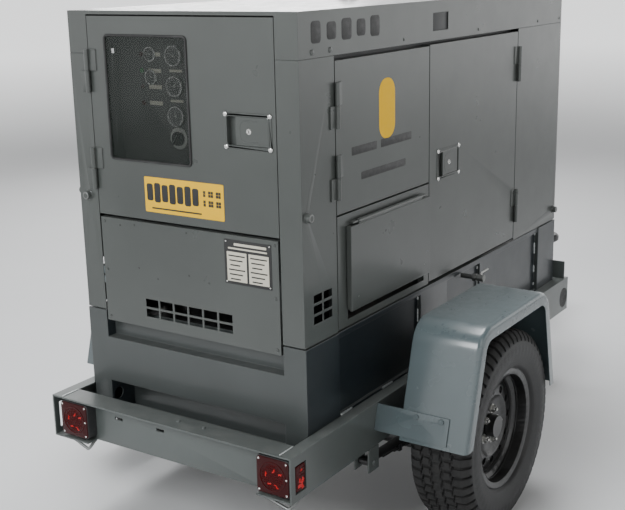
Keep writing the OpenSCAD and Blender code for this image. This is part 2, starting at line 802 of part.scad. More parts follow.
module jack_crank() {
    color(black) from_rear() translate([jack_x, 0, jack_head_z]) {
        cylinder(r = 9, h = 62);
        translate([0, 0, -90]) cylinder(r = 9, h = 90);
        span([-9, -9, 50], [crank_l, 9, 62]);
        translate([crank_l - 9, 0, 56]) cylinder(r = 13, h = 90);
    }
}

// ---- base ----

module base_box() {
    color(paint) from_rear() difference() {
        union() {
            span([0, -base_half_w, base_floor], [enclosure_l, base_half_w, deck_z - 4]);
            // Proud corner boxes that stand on the rails
            for (y = [0, 1], x = [0, enclosure_l - rear_post_l]) mirror([0, y, 0])
                span([x, -half_w - 3, rail_top], [x + rear_post_l, -half_w + post_w, deck_z - 4]);
        }
        span([base_end, -base_half_w + base_side, base_step_z + base_t],
            [enclosure_l - base_end, base_half_w - base_side, deck_z]);
        span([base_low_recess + base_t, -base_half_w + base_side, base_floor + base_t],
            [enclosure_l - base_low_recess - base_t, base_half_w - base_side, deck_z]);
        // Hollow feet in the four corners, each with a hand hole towards the middle
        for (s = [0, 1], x = [base_t, enclosure_l - base_low_recess]) mirror([0, s, 0])
            span([x, rear_edge_y + base_t, base_floor + base_t],
                [x + base_low_recess - base_t, base_half_w - base_side, base_step_z - base_t]);
        for (s = [0, 1], x = [hand_hole_x, enclosure_l - hand_hole_x]) mirror([0, s, 0])
            translate([x, rear_edge_y - 1, rail_top - 33]) y_rod(20, base_t + 2);
        // Shallow panels pressed into the sides
        for (s = [0, 1], x = [[rear_post_l, 723], [927, 1202], [1352, enclosure_l - rear_post_l]]) mirror([0, s, 0])
            span([x[0], -half_w - 4, rail_top + 4], [x[1], -base_half_w + base_recess, deck_z - 24]);
        // Rear recesses behind the skirt and, deeper, under the step, and the same at the front
        for (x = [-1, enclosure_l - base_end_recess])
            span([x, -rear_edge_y, deck_z - 97], [x + base_end_recess + 1, rear_edge_y, deck_z]);
        for (x = [-1, enclosure_l - base_low_recess])
            span([x, -rear_edge_y, base_floor - 1], [x + base_low_recess + 1, rear_edge_y, base_step_z]);
    }
}

module fuel_tank() {
    color(black) from_rear() {
        span([120, -base_half_w + 60, base_floor + base_t + 2], [enclosure_l - tank_front, base_half_w - 60, deck_z - 60]);
        translate([rear_post_l + 120, base_half_w - 110, deck_z - 60]) cylinder(r = 30, h = 46);
        translate([rear_post_l + 120, base_half_w - 110, deck_z - 14]) cylinder(r = 38, h = 22);
    }
}

module drain_valve() {
    color(steel) from_rear() translate([drain_x, -base_half_w - 90, deck_z - 33]) {
        translate([0, 26, 0]) y_rod(9, 66);
        y_rod(13, 26);
        rotate([-90, 0, 0]) translate([0, 0, 30]) cylinder(r = 15, h = 14, $fn = 6);
    }
}

// ---- enclosure ----

module rear_posts() {
    color(paint) from_rear() for (s = [0, 1]) mirror([0, s, 0]) {
        difference() {
            span([0, -half_w, deck_z], [rear_post_l, -half_w + post_w, post_top]);
            span([sheet, -half_w + sheet, deck_z - 1], [rear_post_l + 1, -half_w + post_w + 1, post_top + 1]);
            for (i = [0, 1], j = [0:2]) span([52 + i * 54, -half_w - 1, deck_z + 61 + j * 33],
                [98 + i * 54, -half_w + sheet + 1, deck_z + 85 + j * 33]);
        }
        // Stiffening return along the door edge
        span([rear_post_l - 20, -half_w + sheet, deck_z], [rear_post_l, -half_w + 2 * sheet, post_top]);
        // Plugs: one on each side, and one on the left post's rear face
        if (s == 1) translate([-18, -half_w + post_w / 2, deck_z + 385]) x_rod(13, 18);
        translate([24, -half_w - 18, deck_z + 393]) y_rod(13, 18);
    }
}

module front_posts() {
    front_x = enclosure_l - front_post_l;
    color(paint) from_rear() for (s = [0, 1]) mirror([0, s, 0]) {
        difference() {
            span([front_x, -half_w, deck_z], [enclosure_l, -half_w + post_w, post_top]);
            span([front_x - 1, -half_w + sheet, deck_z - 1], [enclosure_l - sheet, -half_w + post_w + 1, post_top + 1]);
        }
        translate([enclosure_l - 26, -half_w - 18, deck_z + 47]) y_rod(13, 18);
    }
}

// The welded frame behind the doors: top rails, uprights and cross bars
module door_frame() {
    in_y = half_w - pan_d - 4;
    bar_w = 28;
    color(black) from_rear() {
        for (s = [0, 1]) mirror([0, s, 0]) {
            span([rear_post_l, -in_y, post_top - 28], [enclosure_l - front_post_l, -in_y + bar_w, post_top]);
            span([rear_side_x1 - 16, -in_y, deck_z], [rear_side_x1 + 20, -in_y + bar_w, post_top]);
            span([rear_post_l, -in_y, terminal_z1 - 14], [rear_side_x1, -in_y + bar_w, terminal_z1 + 14]);
            span([rear_post_l, -in_y, deck_z], [enclosure_l - front_post_l, -in_y + bar_w, deck_z + 8]);
        }
        span([pan_d + 4, -rear_edge_y, rear_door_z0 - 20], [pan_d + 4 + bar_w, rear_edge_y, rear_door_z0 + 6]);
    }
}

module roof() {
    color(paint) from_rear() difference() {
        span([0, -half_w, band_z], [enclosure_l, half_w, roof_z]);
        span([sheet, -half_w + sheet, band_z - 1], [enclosure_l - sheet, half_w - sheet, roof_z - sheet]);
        // The rear and front keep only a narrow lip between the posts' tops
        span([-1, -rear_edge_y, band_z - 1], [sheet + 1, rear_edge_y, roof_z - 12]);
        span([enclosure_l - sheet - 1, -rear_edge_y, band_z - 1], [enclosure_l + 1, rear_edge_y, roof_z - 12]);
        for (s = [0, 1]) mirror([0, s, 0]) span([799, -half_w - 1, roof_z - 99], [910, -half_w + sheet + 1, roof_z - 41]);
        // Air outlet, and the hole that the lifting eye stands in
        span([1480, -250, roof_z - 10], [1800, 250, roof_z + 1]);
    }
}

module roof_vent() {
    color(black) from_rear() {
        difference() {
            span([1470, -260, roof_z], [1810, 260, roof_z + 4]);
            for (i = [0:11]) span([1488 + i * 26, -240, roof_z - 1], [1500 + i * 26, 240, roof_z + 5]);
        }
        // Cap over the exhaust's outlet
        span([1200, -290, roof_z], [1280, -180, roof_z + 14]);
    }
}

module lifting_eye() {
    color(steel) from_rear() difference() {
        union() {
            span([enclosure_l / 2 - 60, -8, roof_z], [enclosure_l / 2 + 60, 8, roof_z + 30]);
            translate([enclosure_l / 2, -8, roof_z + 30]) y_rod(42, 16);
            span([enclosure_l / 2 - 70, -45, roof_z], [enclosure_l / 2 + 70, 45, roof_z + 6]);
        }
        translate([enclosure_l / 2, -9, roof_z + 30]) y_rod(20, 18);
        span([enclosure_l / 2 - 80, -50, roof_z - 40], [enclosure_l / 2 + 80, 50, roof_z]);
    }
}

module rear_panel() {
    w = 2 * rear_edge_y - 12;
    z0 = deck_z - rear_panel_drop;
    color(paint) from_rear() difference() {
        on_rear(w / 2 + 1, z0) pan(w, rear_panel_h, 22);
        // Cooling slots, six columns in two rows
        for (i = [0:5], j = [0, 1])
            span([-1, -172 + i * 60, deck_z + 3 + j * 34], [sheet + 1, -120 + i * 60, deck_z + 29 + j * 34]);
    }
}

module front_grille() {
    w = 2 * rear_edge_y - 12;
    h = roof_z - 30 - deck_z;
    color(paint) from_rear() difference() {
        translate([enclosure_l, -w / 2, deck_z + 4]) rotate([90, 0, 90]) pan(w, h, 22);
        for (i = [0:17]) span([enclosure_l - sheet - 1, -270, deck_z + 120 + i * 38],
            [enclosure_l + 1, 270, deck_z + 138 + i * 38]);
    }
}

module side_hinge_fixed(x, z, forward) {
    translate([x, -half_w - hinge_proud, z]) mirror([forward, 0, 0]) hinge_fixed();
}

function side_hinges_rear() = [side_door_z0 + 48, side_door_z1 - 62 - hinge_l];
function side_hinges_front() = [front_door_z0 + 68, front_door_z1 - 56 - hinge_l];
function rear_hinges() = [rear_door_z0 + 82, rear_door_z1 - 102 - hinge_l];

module hinge_pins() {
    color(paint) from_rear() {
        for (s = [0, 1]) mirror([0, s, 0]) {
            for (z = side_hinges_rear()) side_hinge_fixed(side_hinge_x, z, 0);
            for (z = side_hinges_front()) side_hinge_fixed(front_side_x1 + door_gap / 2, z, 1);
        }
        for (z = rear_hinges()) translate([-hinge_proud, rear_edge_y, z]) rotate([0, 0, -90]) hinge_fixed();
        translate([flap_x + 20, -flap_pin_y, flap_pin_z]) x_rod(pin_r, flap_w - 40);
        for (x = [flap_x + 20, flap_x + flap_w - 50])
            span([x, -flap_pin_y - 3, flap_pin_z - 3], [x + 30, -half_w, flap_pin_z + 3]);
    }
}

module terminal_panel() {
    color(paint) from_rear() difference() {
        union() {
            difference() {
                on_right(rear_side_x0, terminal_z0) pan(rear_side_door_w, terminal_h, 22);
                // Opening behind the flap, and the wider cable slot that shows under it
                span([flap_x + 20, -half_w - 1, terminal_z0 + 34], [flap_x + flap_w - 20, -half_w + sheet + 1, flap_top - 20]);
                span([flap_x + 8, -half_w - 1, terminal_z0 + 22], [flap_x + flap_w - 8, -half_w + sheet + 1, terminal_z0 + 70]);
            }
            // Terminal board behind the opening
            span([flap_x + 8, -half_w + 60, terminal_z0 + 20], [flap_x + flap_w - 8, -half_w + 66, flap_top - 8]);
            for (x = [flap_x, flap_x + flap_w - 8])
                span([x, -half_w + sheet - 0.5, terminal_z0 + 20], [x + 8, -half_w + 66, flap_top - 8]);
            // Load lugs and the breaker's body
            for (i = [0:4]) translate([flap_x + 60 + i * 44, -half_w + 36, terminal_z0 + 90]) y_rod(9, 26);
            span([flap_x + 330, -half_w + 20, terminal_z0 + 110], [flap_x + 420, -half_w + 61, terminal_z0 + 230]);
        }
        // Slot for the breaker lever and its cross bore
        span([flap_x + 366, -half_w + 19, terminal_z0 + 140], [flap_x + 384, -half_w + 52, terminal_z0 + 200]);
        translate([flap_x + 350, -half_w + 36, terminal_z0 + 170]) x_rod(3, 50);
    }
}

// The lever turns on a cross pin inside the breaker's body
module breaker_lever() {
    color(black) from_rear() translate([flap_x + 375, -half_w + 36, terminal_z0 + 170]) {
        translate([-24.5, 0, 0]) x_rod(3 - fit_gap, 49);
        translate([-8, 0, 0]) x_rod(9, 16);
        translate([-8, 0, 0]) rotate([-25, 0, 0]) span([1, -34, -5], [15, 0, 5]);
    }
}

// A shallow lid with rolled top and bottom edges, hung from its top edge
module terminal_flap() {
    face_y = half_w + flap_proud;
    color(paint) from_rear() difference() {
        union() {
            difference() {
                span([flap_x, -face_y, flap_top - flap_h], [flap_x + flap_w, -half_w - 2, flap_top]);
                span([flap_x + sheet, -face_y + sheet, flap_top - flap_h - 1],
                    [flap_x + flap_w - sheet, -half_w - 1, flap_top - sheet]);
            }
            translate([flap_x, -face_y + 5, flap_top - flap_h]) x_rod(5, flap_w);
            translate([flap_x + 52, -flap_pin_y, flap_pin_z]) x_rod(knuckle_r - 1, flap_w - 104);
            span([flap_x + 52, -flap_pin_y - 5, flap_top - 1], [flap_x + flap_w - 52, -flap_pin_y + 5, flap_pin_z]);
        }
        translate([flap_x + 10, -flap_pin_y, flap_pin_z]) x_rod(pin_r + fit_gap, flap_w - 20);
    }
}

// ---- controls ----

module control_panel() {
    y0 = window_y0 - 30;
    y1 = window_y1 + 20;
    gauge_y = window_y0 + 95;
    lamp_y = window_y1 - 100;
    color(black) from_rear() difference() {
        union() {
            span([control_x, y0, window_z0 - 30], [control_x + 4, y1, window_z1 + 20]);
            span([control_x + 4, y0, window_z0 - 30], [control_x + 150, y1, window_z0 - 26]);
            span([control_x + 4, y0, window_z1 + 16], [control_x + 150, y1, window_z1 + 20]);
            for (i = [0:2]) translate([control_x - 9, gauge_y, window_z1 - 62 - i * 92]) x_rod(gauge_r, 9);
            for (i = [0:3]) translate([control_x - 6, lamp_y, window_z1 - 60 - i * 50]) x_rod(8, 6);
        }
        translate([control_x - 1, gauge_y, window_z0 + 70]) x_rod(switch_shaft_r + fit_gap, 6);
        translate([control_x - 1, window_y0 + 24, window_z0 + 22]) x_rod(stop_stem_r + fit_gap, 6);
    }
}

module selector_switch() {
    color(steel) from_rear() translate([control_x, window_y0 + 95, window_z0 + 70]) {
        translate([-8, 0, 0]) x_rod(switch_shaft_r, 20);
        translate([-10, 0, 0]) x_rod(22, 6);
        rotate([35, 0, 0]) span([-22, -5, -20], [-10, 5, 20]);
    }
}

module stop_button() {
    color(red) from_rear() translate([control_x, window_y0 + 24, window_z0 + 22]) {
        translate([-14, 0, 0]) x_rod(stop_stem_r, 30);
        translate([-stop_travel - 16, 0, 0]) x_rod(17, 12);
    }
}

// ---- doors ----

module rear_hinge_leaf() {
    for (z = rear_hinges()) translate([-hinge_proud, rear_edge_y, z]) rotate([0, 0, -90]) hinge_moving();
}

module rear_door() {
    w = rear_door_y1 - rear_door_y0;
    color(paint) from_rear() {
        difference() {
            on_rear(rear_door_y1, rear_door_z0) pan(w, rear_door_z1 - rear_door_z0);
            on_rear(window_y1, window_z0) translate([0, 0, -10]) linear_extrude(20) rounded(window_w, window_h, window_r);
            on_rear(rear_latch_y, rear_latch_z) latch_hole();
        }
        rear_hinge_leaf();
    }
}

// Rubber section that grips the sheet's edge and holds the glass
module window_gasket() {
    color(rubber) from_rear() on_rear(window_y1, window_z0) difference() {
        union() {
            translate([-gasket_w / 2, -gasket_w / 2, 0]) linear_extrude(5)
                rounded(window_w + gasket_w, window_h + gasket_w, window_r + gasket_w / 2);
            translate([0, 0, -9]) linear_extrude(9) rounded(window_w, window_h, window_r);
        }
        translate([gasket_w / 2, gasket_w / 2, -10]) linear_extrude(16)
            rounded(window_w - gasket_w, window_h - gasket_w, window_r - gasket_w / 2);
    }
}

module window_glass() {
    color([0.1, 0.12, 0.12]) from_rear() on_rear(window_y1 - gasket_w / 2, window_z0 + gasket_w / 2)
        translate([0, 0, -4]) linear_extrude(5) rounded(window_w - gasket_w, window_h - gasket_w, window_r - gasket_w / 2);
}

module rear_latch() {
    color(paint) from_rear() on_rear(rear_latch_y, rear_latch_z) mirror([1, 0, 0]) latch_plate();
}

module rear_paddle() {
    color(paint) from_rear() on_rear(rear_latch_y, rear_latch_z) mirror([1, 0, 0]) latch_paddle();
}

module side_rear_door(z0) {
    on_right(rear_side_x0, z0) pan(rear_side_door_w, side_door_z1 - z0);
    for (z = side_hinges_rear()) translate([side_hinge_x, -half_w - hinge_proud, z]) hinge_moving();
}

module side_front_door() {
    difference() {
        on_right(front_side_x0, front_door_z0) pan(front_side_x1 - front_side_x0, front_door_z1 - front_door_z0);
        on_right(side_latch_x, side_latch_z) latch_hole();
    }
    for (z = side_hinges_front())
        translate([front_side_x1 + door_gap / 2, -half_w - hinge_proud, z]) mirror([1, 0, 0]) hinge_moving();
}

module right_rear_door() {
    color(paint) from_rear() side_rear_door(side_door_z0);
}

module right_front_door() {
    color(paint) from_rear() side_front_door();
}

module right_latch() {
    color(paint) from_rear() on_right(side_latch_x, side_latch_z) mirror([1, 0, 0]) latch_plate();
}

module right_paddle() {
    color(paint) from_rear() on_right(side_latch_x, side_latch_z) mirror([1, 0, 0]) latch_paddle();
}

module left_rear_door() {
    color(paint) from_rear() left_side() side_rear_door(front_door_z0);
}

module left_front_door() {
    color(paint) from_rear() left_side() side_front_door();
}

module left_latch() {
    color(paint) from_rear() left_side() on_right(side_latch_x, side_latch_z) mirror([1, 0, 0]) latch_plate();
}

module left_paddle() {
    color(paint) from_rear() left_side() on_right(side_latch_x, side_latch_z) mirror([1, 0, 0]) latch_paddle();
}

// ---- power unit ----

module engine_block() {
    color([0.2, 0.22, 0.2]) from_rear() difference() {
        union() {
            span([engine_x, -engine_w / 2, shaft_z - 90], [engine_x + engine_l, engine_w / 2, shaft_z + chamber_r + 20]);
            span([engine_x + 24, -block_w / 2, shaft_z + chamber_r], [engine_x + engine_l - 24, block_w / 2, head_z]);
            span([engine_x + 20, -engine_w / 2 + 40, shaft_z - 230], [engine_x + engine_l - 20, engine_w / 2 - 40, shaft_z - 90]);
            // Rocker cover, manifold and the air cleaner beside it
            span([engine_x + 40, -70, head_z], [engine_x + engine_l - 40, 70, head_z + 70]);
            translate([engine_x + 80, engine_w / 2 + 50, shaft_z + 200]) x_rod(62, 300);
            span([engine_x + 160, block_w / 2 - 1, shaft_z + 170], [engine_x + 240, engine_w / 2 + 30, shaft_z + 230]);
            // Feet down to the base
            for (x = [engine_x + 40, engine_x + engine_l - 100], s = [-1, 1])
                span([x, s * engine_w / 2 - 30, deck_z - 4], [x + 60, s * engine_w / 2 + 30, shaft_z - 60]);
        }
        translate([engine_x - 1, 0, shaft_z]) x_rod(crank_shaft_r + fit_gap, engine_l + 2);
        // Crank chamber between the two end bearings, and the cylinders over it
        translate([engine_x + 30, 0, shaft_z]) x_rod(chamber_r, engine_l - 60);
        for (i = [0:3]) translate([engine_x + engine_l / 2 + (i - 1.5) * 116, 0, shaft_z]) cylinder(r = cylinder_r, h = head_z - 30 - shaft_z);
    }
}

module alternator_housing() {
    color([0.25, 0.27, 0.3]) from_rear() difference() {
        union() {
            translate([alternator_x, 0, shaft_z]) x_rod(alternator_r, alternator_l);
            translate([alternator_x + alternator_l, 0, shaft_z]) x_rod(alternator_r - 10, 60);
            span([alternator_x + 60, -120, shaft_z + alternator_r - 30], [alternator_x + 330, 120, shaft_z + alternator_r + 110]);
            for (s = [-1, 1]) span([alternator_x + 60, s * 120 - 30, deck_z - 4], [alternator_x + 300, s * 120 + 30, shaft_z - alternator_r + 60]);
        }
        translate([alternator_x + 30, 0, shaft_z]) x_rod(alternator_r - 60, alternator_l - 50);
        translate([alternator_x - 1, 0, shaft_z]) x_rod(crank_shaft_r + fit_gap, alternator_l + 70);
    }
}

// Crankshaft with the alternator's rotor behind it and the cooling fan in front
module crankshaft_set() {
    color(steel) from_rear() {
        translate([alternator_x - 10, 0, shaft_z]) x_rod(crank_shaft_r, fan_x + 40 - alternator_x);
        translate([alternator_x + 80, 0, shaft_z]) x_rod(alternator_r - 80, alternator_l - 170);
        translate([fan_x, 0, shaft_z]) {
            x_rod(60, 26);
            for (i = [0:6]) rotate([i * 360 / 7, 0, 0]) translate([13, 0, 50]) rotate([0, 0, 28])
                translate([-2, -36, 0]) cube([4, 72, fan_r - 50]);
        }
    }
}

module radiator() {
    color([0.15, 0.15, 0.16]) from_rear() {
        span([radiator_x, -290, deck_z + 60], [radiator_x + 70, 290, band_z - 90]);
        span([radiator_x - 6, -310, deck_z - 4], [radiator_x + 76, 310, deck_z + 60]);
        span([radiator_x - 6, -300, band_z - 90], [radiator_x + 76, 300, band_z - 40]);
        translate([radiator_x + 36, 0, band_z - 40]) cylinder(r = 30, h = 26);
    }
}

rail_right();
rail_left();
rear_beam();
front_beam();
cross_members();
drawbars();
hitch_eye();
tie_loops();
fender_right();
fender_left();
fender_brackets();
spring_hangers();
leaf_springs();
lamp_housings();
lamp_lenses();
jack_tube();
jack_leg();
jack_crank();
axle_beam();
hub_right();
hub_left();
rim_right();
rim_left();
tyre_right();
tyre_left();
base_box();
fuel_tank();
drain_valve();
rear_posts();
front_posts();
door_frame();
roof();
roof_vent();
lifting_eye();
rear_panel();
front_grille();
hinge_pins();
terminal_panel();
terminal_flap();
breaker_lever();
control_panel();
selector_switch();
stop_button();
rear_door();
window_gasket();
window_glass();
rear_latch();
rear_paddle();
right_rear_door();
right_front_door();
right_latch();
right_paddle();
left_rear_door();
left_front_door();
left_latch();
left_paddle();
engine_block();
alternator_housing();
crankshaft_set();
radiator();
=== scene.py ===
"""The looks of a towable diesel generator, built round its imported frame.

Each sub-assembly is a class. New pieces are surfaces computed with numpy on grids and swept
profiles; pieces whose shape the frame already holds get rolled edges and a finish. Metres, with
X forward to the hitch, Y to the left and Z up.
"""

import json
import logging
import math
from dataclasses import dataclass, field
from enum import Enum
from typing import Callable, Iterable, Sequence

import bmesh
import bpy
import numpy as np
from mathutils import Matrix, Vector

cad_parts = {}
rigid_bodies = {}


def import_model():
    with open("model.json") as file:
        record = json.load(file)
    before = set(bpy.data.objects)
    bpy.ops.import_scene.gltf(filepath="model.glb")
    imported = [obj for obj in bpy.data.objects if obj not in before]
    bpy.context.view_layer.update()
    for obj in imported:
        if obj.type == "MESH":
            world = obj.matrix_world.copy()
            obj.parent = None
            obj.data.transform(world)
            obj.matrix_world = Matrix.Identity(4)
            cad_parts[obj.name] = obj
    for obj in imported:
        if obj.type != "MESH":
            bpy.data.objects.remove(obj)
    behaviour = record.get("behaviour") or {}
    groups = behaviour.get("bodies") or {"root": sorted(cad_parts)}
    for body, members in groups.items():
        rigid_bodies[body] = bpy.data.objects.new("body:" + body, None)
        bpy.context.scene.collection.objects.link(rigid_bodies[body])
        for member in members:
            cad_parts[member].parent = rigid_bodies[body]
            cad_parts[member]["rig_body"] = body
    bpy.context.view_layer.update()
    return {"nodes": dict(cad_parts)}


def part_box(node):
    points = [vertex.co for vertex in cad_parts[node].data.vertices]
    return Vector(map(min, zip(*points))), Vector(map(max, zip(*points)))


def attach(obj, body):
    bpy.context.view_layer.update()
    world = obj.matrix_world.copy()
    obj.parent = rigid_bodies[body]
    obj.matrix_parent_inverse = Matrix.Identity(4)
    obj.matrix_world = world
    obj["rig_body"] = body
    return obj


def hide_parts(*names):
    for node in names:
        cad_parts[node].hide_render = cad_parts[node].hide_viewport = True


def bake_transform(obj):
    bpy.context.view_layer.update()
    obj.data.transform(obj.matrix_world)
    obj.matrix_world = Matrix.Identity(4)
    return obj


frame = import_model()

logging.basicConfig(level=logging.INFO, format="%(message)s")
LOG = logging.getLogger("generator")

Colour = tuple[float, float, float]
Array = np.ndarray
MM = 0.001
SMOOTH_ANGLE = math.radians(38)
CIRCLE = 48
BEAD_R = 0.1905  # a 15 inch rim's bead seat
STUD_CIRCLE_R = 0.05715  # half of a 114.3 mm stud circle


class Side(Enum):
    """The two sides of the trailer, as the sign of Y."""

    RIGHT = -1
    LEFT = 1

    @property
    def word(self) -> str:
        """The side's name as it stands in the frame's names."""
        return self.name.lower()


# ---------------------------------------------------------------- materials


class Graph:
    """A small helper round a material's node tree."""

    def __init__(self, name: str) -> None:
        """Starts a material with one Principled shader.

        Args:
            name: the material's name.
        """
        self.material = bpy.data.materials.new(name)
        self.material.use_nodes = True
        self.tree = self.material.node_tree
        self.tree.nodes.clear()
        output = self.tree.nodes.new("ShaderNodeOutputMaterial")
        self.shader = self.tree.nodes.new("ShaderNodeBsdfPrincipled")
        self.link(self.shader.outputs[0], output.inputs[0])
        self.place = self.tree.nodes.new("ShaderNodeTexCoord").outputs["Object"]

    def link(self, source: bpy.types.NodeSocket, target: bpy.types.NodeSocket) -> None:
        """Joins two sockets."""
        self.tree.links.new(source, target)

    def stretched(self, scale: Sequence[float]) -> bpy.types.NodeSocket:
        """Object coordinates stretched by a scale for each axis."""
        node = self.tree.nodes.new("ShaderNodeMapping")
        node.inputs["Scale"].default_value = scale
        self.link(self.place, node.inputs["Vector"])
        return node.outputs[0]

    def noise(self, scale: float, detail: float = 3.0, roughness: float = 0.55,
              vector: bpy.types.NodeSocket | None = None) -> bpy.types.NodeSocket:
        """A noise value on the object's coordinates.

        Args:
            scale: cycles in a metre, roughly.
            detail: octaves of the noise.
            roughness: how strong the finer octaves are.
            vector: other coordinates than the object's own.

        Returns:
            The socket that gives 0 to 1.
        """
        node = self.tree.nodes.new("ShaderNodeTexNoise")
        node.inputs["Scale"].default_value = scale
        node.inputs["Detail"].default_value = detail
        node.inputs["Roughness"].default_value = roughness
        self.link(vector or self.place, node.inputs["Vector"])
        return node.outputs["Fac"]

    def ramp(self, value: bpy.types.NodeSocket, low: float, high: float,
             start: float = 0.0, end: float = 1.0) -> bpy.types.NodeSocket:
        """Maps a value from low..high to start..end, and holds it at both ends."""
        node = self.tree.nodes.new("ShaderNodeMapRange")
        for name, number in (("From Min", low), ("From Max", high), ("To Min", start), ("To Max", end)):
            node.inputs[name].default_value = number
        self.link(value, node.inputs["Value"])
        return node.outputs[0]

    def math(self, kind: str, a: bpy.types.NodeSocket,
             b: bpy.types.NodeSocket | float) -> bpy.types.NodeSocket:
        """One arithmetic step between two values."""
        node = self.tree.nodes.new("ShaderNodeMath")
        node.operation = kind
        self.link(a, node.inputs[0])
        if isinstance(b, float):
            node.inputs[1].default_value = b
        else:
            self.link(b, node.inputs[1])
        return node.outputs[0]

    def mix(self, value: bpy.types.NodeSocket, a: bpy.types.NodeSocket | Colour,
            b: bpy.types.NodeSocket | Colour) -> bpy.types.NodeSocket:
        """Mixes two colours by a value."""
        node = self.tree.nodes.new("ShaderNodeMix")
        node.data_type = "RGBA"
        self.link(value, node.inputs["Factor"])
        for socket, colour in ((node.inputs[6], a), (node.inputs[7], b)):
            if isinstance(colour, tuple):
                socket.default_value = (*colour, 1.0)
            else:
                self.link(colour, socket)
        return node.outputs[2]

    def bump(self, height: bpy.types.NodeSocket, distance: float, strength: float = 1.0,
             under: bpy.types.NodeSocket | None = None) -> bpy.types.NodeSocket:
        """A bumped normal.

        Args:
            height: the height, 0 to 1.
            distance: how far 1 stands up, in metres.
            strength: the share of it that is used.
            under: a bump that lies under this one.

        Returns:
            The normal's socket.
        """
        node = self.tree.nodes.new("ShaderNodeBump")
        node.inputs["Strength"].default_value = strength
        node.inputs["Distance"].default_value = distance
        self.link(height, node.inputs["Height"])
        if under is not None:
            self.link(under, node.inputs["Normal"])
        return node.outputs[0]

    def part(self, axis: str, source: bpy.types.NodeSocket | None = None) -> bpy.types.NodeSocket:
        """One coordinate, of the object's own place or of another vector."""
        node = self.tree.nodes.new("ShaderNodeSeparateXYZ")
        self.link(source or self.place, node.inputs[0])
        return node.outputs[axis]

    def facing(self, axis: str) -> bpy.types.NodeSocket:
        """How far the surface looks along an axis, as that part of its normal."""
        node = self.tree.nodes.new("ShaderNodeNewGeometry")
        return self.part(axis, node.outputs["Normal"])

    def set(self, **values: float | tuple) -> None:
        """Sets sockets of the shader by name, with underscores for spaces."""
        for name, value in values.items():
            self.shader.inputs[name.replace("_", " ")].default_value = value

    def drive(self, name: str, source: bpy.types.NodeSocket) -> None:
        """Joins a socket to one of the shader's inputs."""
        self.link(source, self.shader.inputs[name])


@dataclass(frozen=True)
class Paint:
    """Sprayed enamel: orange peel, cloudy tone, dust on what faces up and fine handling marks, with painted
    shade on faces that look along Y where a sides colour is given.
    """

    name: str
    colour: Colour
    roughness: float = 0.34
    coat: float = 0.25
    dust: float = 0.35
    peel: float = 0.05
    streaks: float = 0.5
    # sides: a darker colour for faces that look along Y, painted shade on the base's sides
    sides: Colour | None = None

    def build(self) -> bpy.types.Material:
        """Makes the material."""
        g = Graph(self.name)
        dark = tuple(c * 0.84 for c in self.colour)
        light = tuple(min(1.0, c * 1.14) for c in self.colour)
        tone = g.mix(g.ramp(g.noise(1.7, 4.0), 0.3, 0.7), dark, light)
        # Painted shade: faces that look sideways along Y take the darker sides colour.
        if self.sides is not None:
            side_shade_mask = g.math("ABSOLUTE", g.facing("Y"), 0.0)
            tone = g.mix(g.ramp(side_shade_mask, 0.6, 0.8), tone, self.sides)
        cloud = g.mix(g.ramp(g.noise(5.0, 5.0, 0.6), 0.42, 0.75, 0.0, 0.12), tone, light)
        runs = g.noise(6.0, 4.0, 0.6, g.stretched((14.0, 14.0, 0.8)))
        streaked = g.mix(g.ramp(runs, 0.5, 0.8, 0.0, 0.16 * self.streaks), cloud, light)
        marks = g.noise(9.0, 2.0, 0.5, g.stretched((1.2, 1.2, 30.0)))
        scuffed = g.mix(g.ramp(marks, 0.66, 0.8, 0.0, 0.1 * self.streaks), streaked, light)
        settled = g.math("MULTIPLY", g.ramp(g.facing("Z"), 0.55, 0.98),
                         g.ramp(g.noise(31.0, 6.0, 0.7), 0.35, 0.7, 0.1, 1.0))
        dusty = g.mix(g.math("MULTIPLY", settled, float(self.dust)), scuffed, (0.33, 0.33, 0.31))
        low = g.math("MULTIPLY", g.ramp(g.part("Z"), 0.62, 0.25), g.ramp(g.noise(12.0, 6.0, 0.7), 0.4, 0.75))
        g.drive("Base Color", g.mix(g.math("MULTIPLY", low, 0.1), dusty, (0.1, 0.092, 0.08)))
        rough = g.ramp(g.noise(9.0, 3.0, 0.6), 0.3, 0.75, self.roughness - 0.03, self.roughness + 0.07)
        g.drive("Roughness", g.math("ADD", rough, g.math("MULTIPLY", settled, 0.25)))
        grain = g.bump(g.noise(90.0, 0.0), 0.0001, self.peel)
        g.drive("Normal", g.bump(g.noise(3.2, 0.0), 0.003, 0.1, grain))
        g.set(Coat_Weight=self.coat, Coat_Roughness=0.16)
        return g.material


@dataclass(frozen=True)
class Metal:
    """Bare or plated metal with brushed streaks, dull patches and a few darker stains."""

    name: str
    colour: Colour
    roughness: float = 0.32
    stain: Colour = (0.16, 0.13, 0.1)
    stained: float = 0.25

    def build(self) -> bpy.types.Material:
        """Makes the material."""
        g = Graph(self.name)
        patch = g.ramp(g.noise(45.0, 6.0, 0.7), 0.45, 0.8, 0.0, self.stained)
        g.drive("Base Color", g.mix(patch, self.colour, self.stain))
        g.drive("Roughness", g.ramp(g.noise(60.0, 4.0), 0.3, 0.7, self.roughness - 0.08,
                                    self.roughness + 0.14))
        brushed = g.noise(180.0, 2.0, 0.5, g.stretched((8.0, 1.0, 1.0)))
        g.drive("Normal", g.bump(brushed, 0.0002, 0.5))
        g.set(Metallic=0.92)
        return g.material


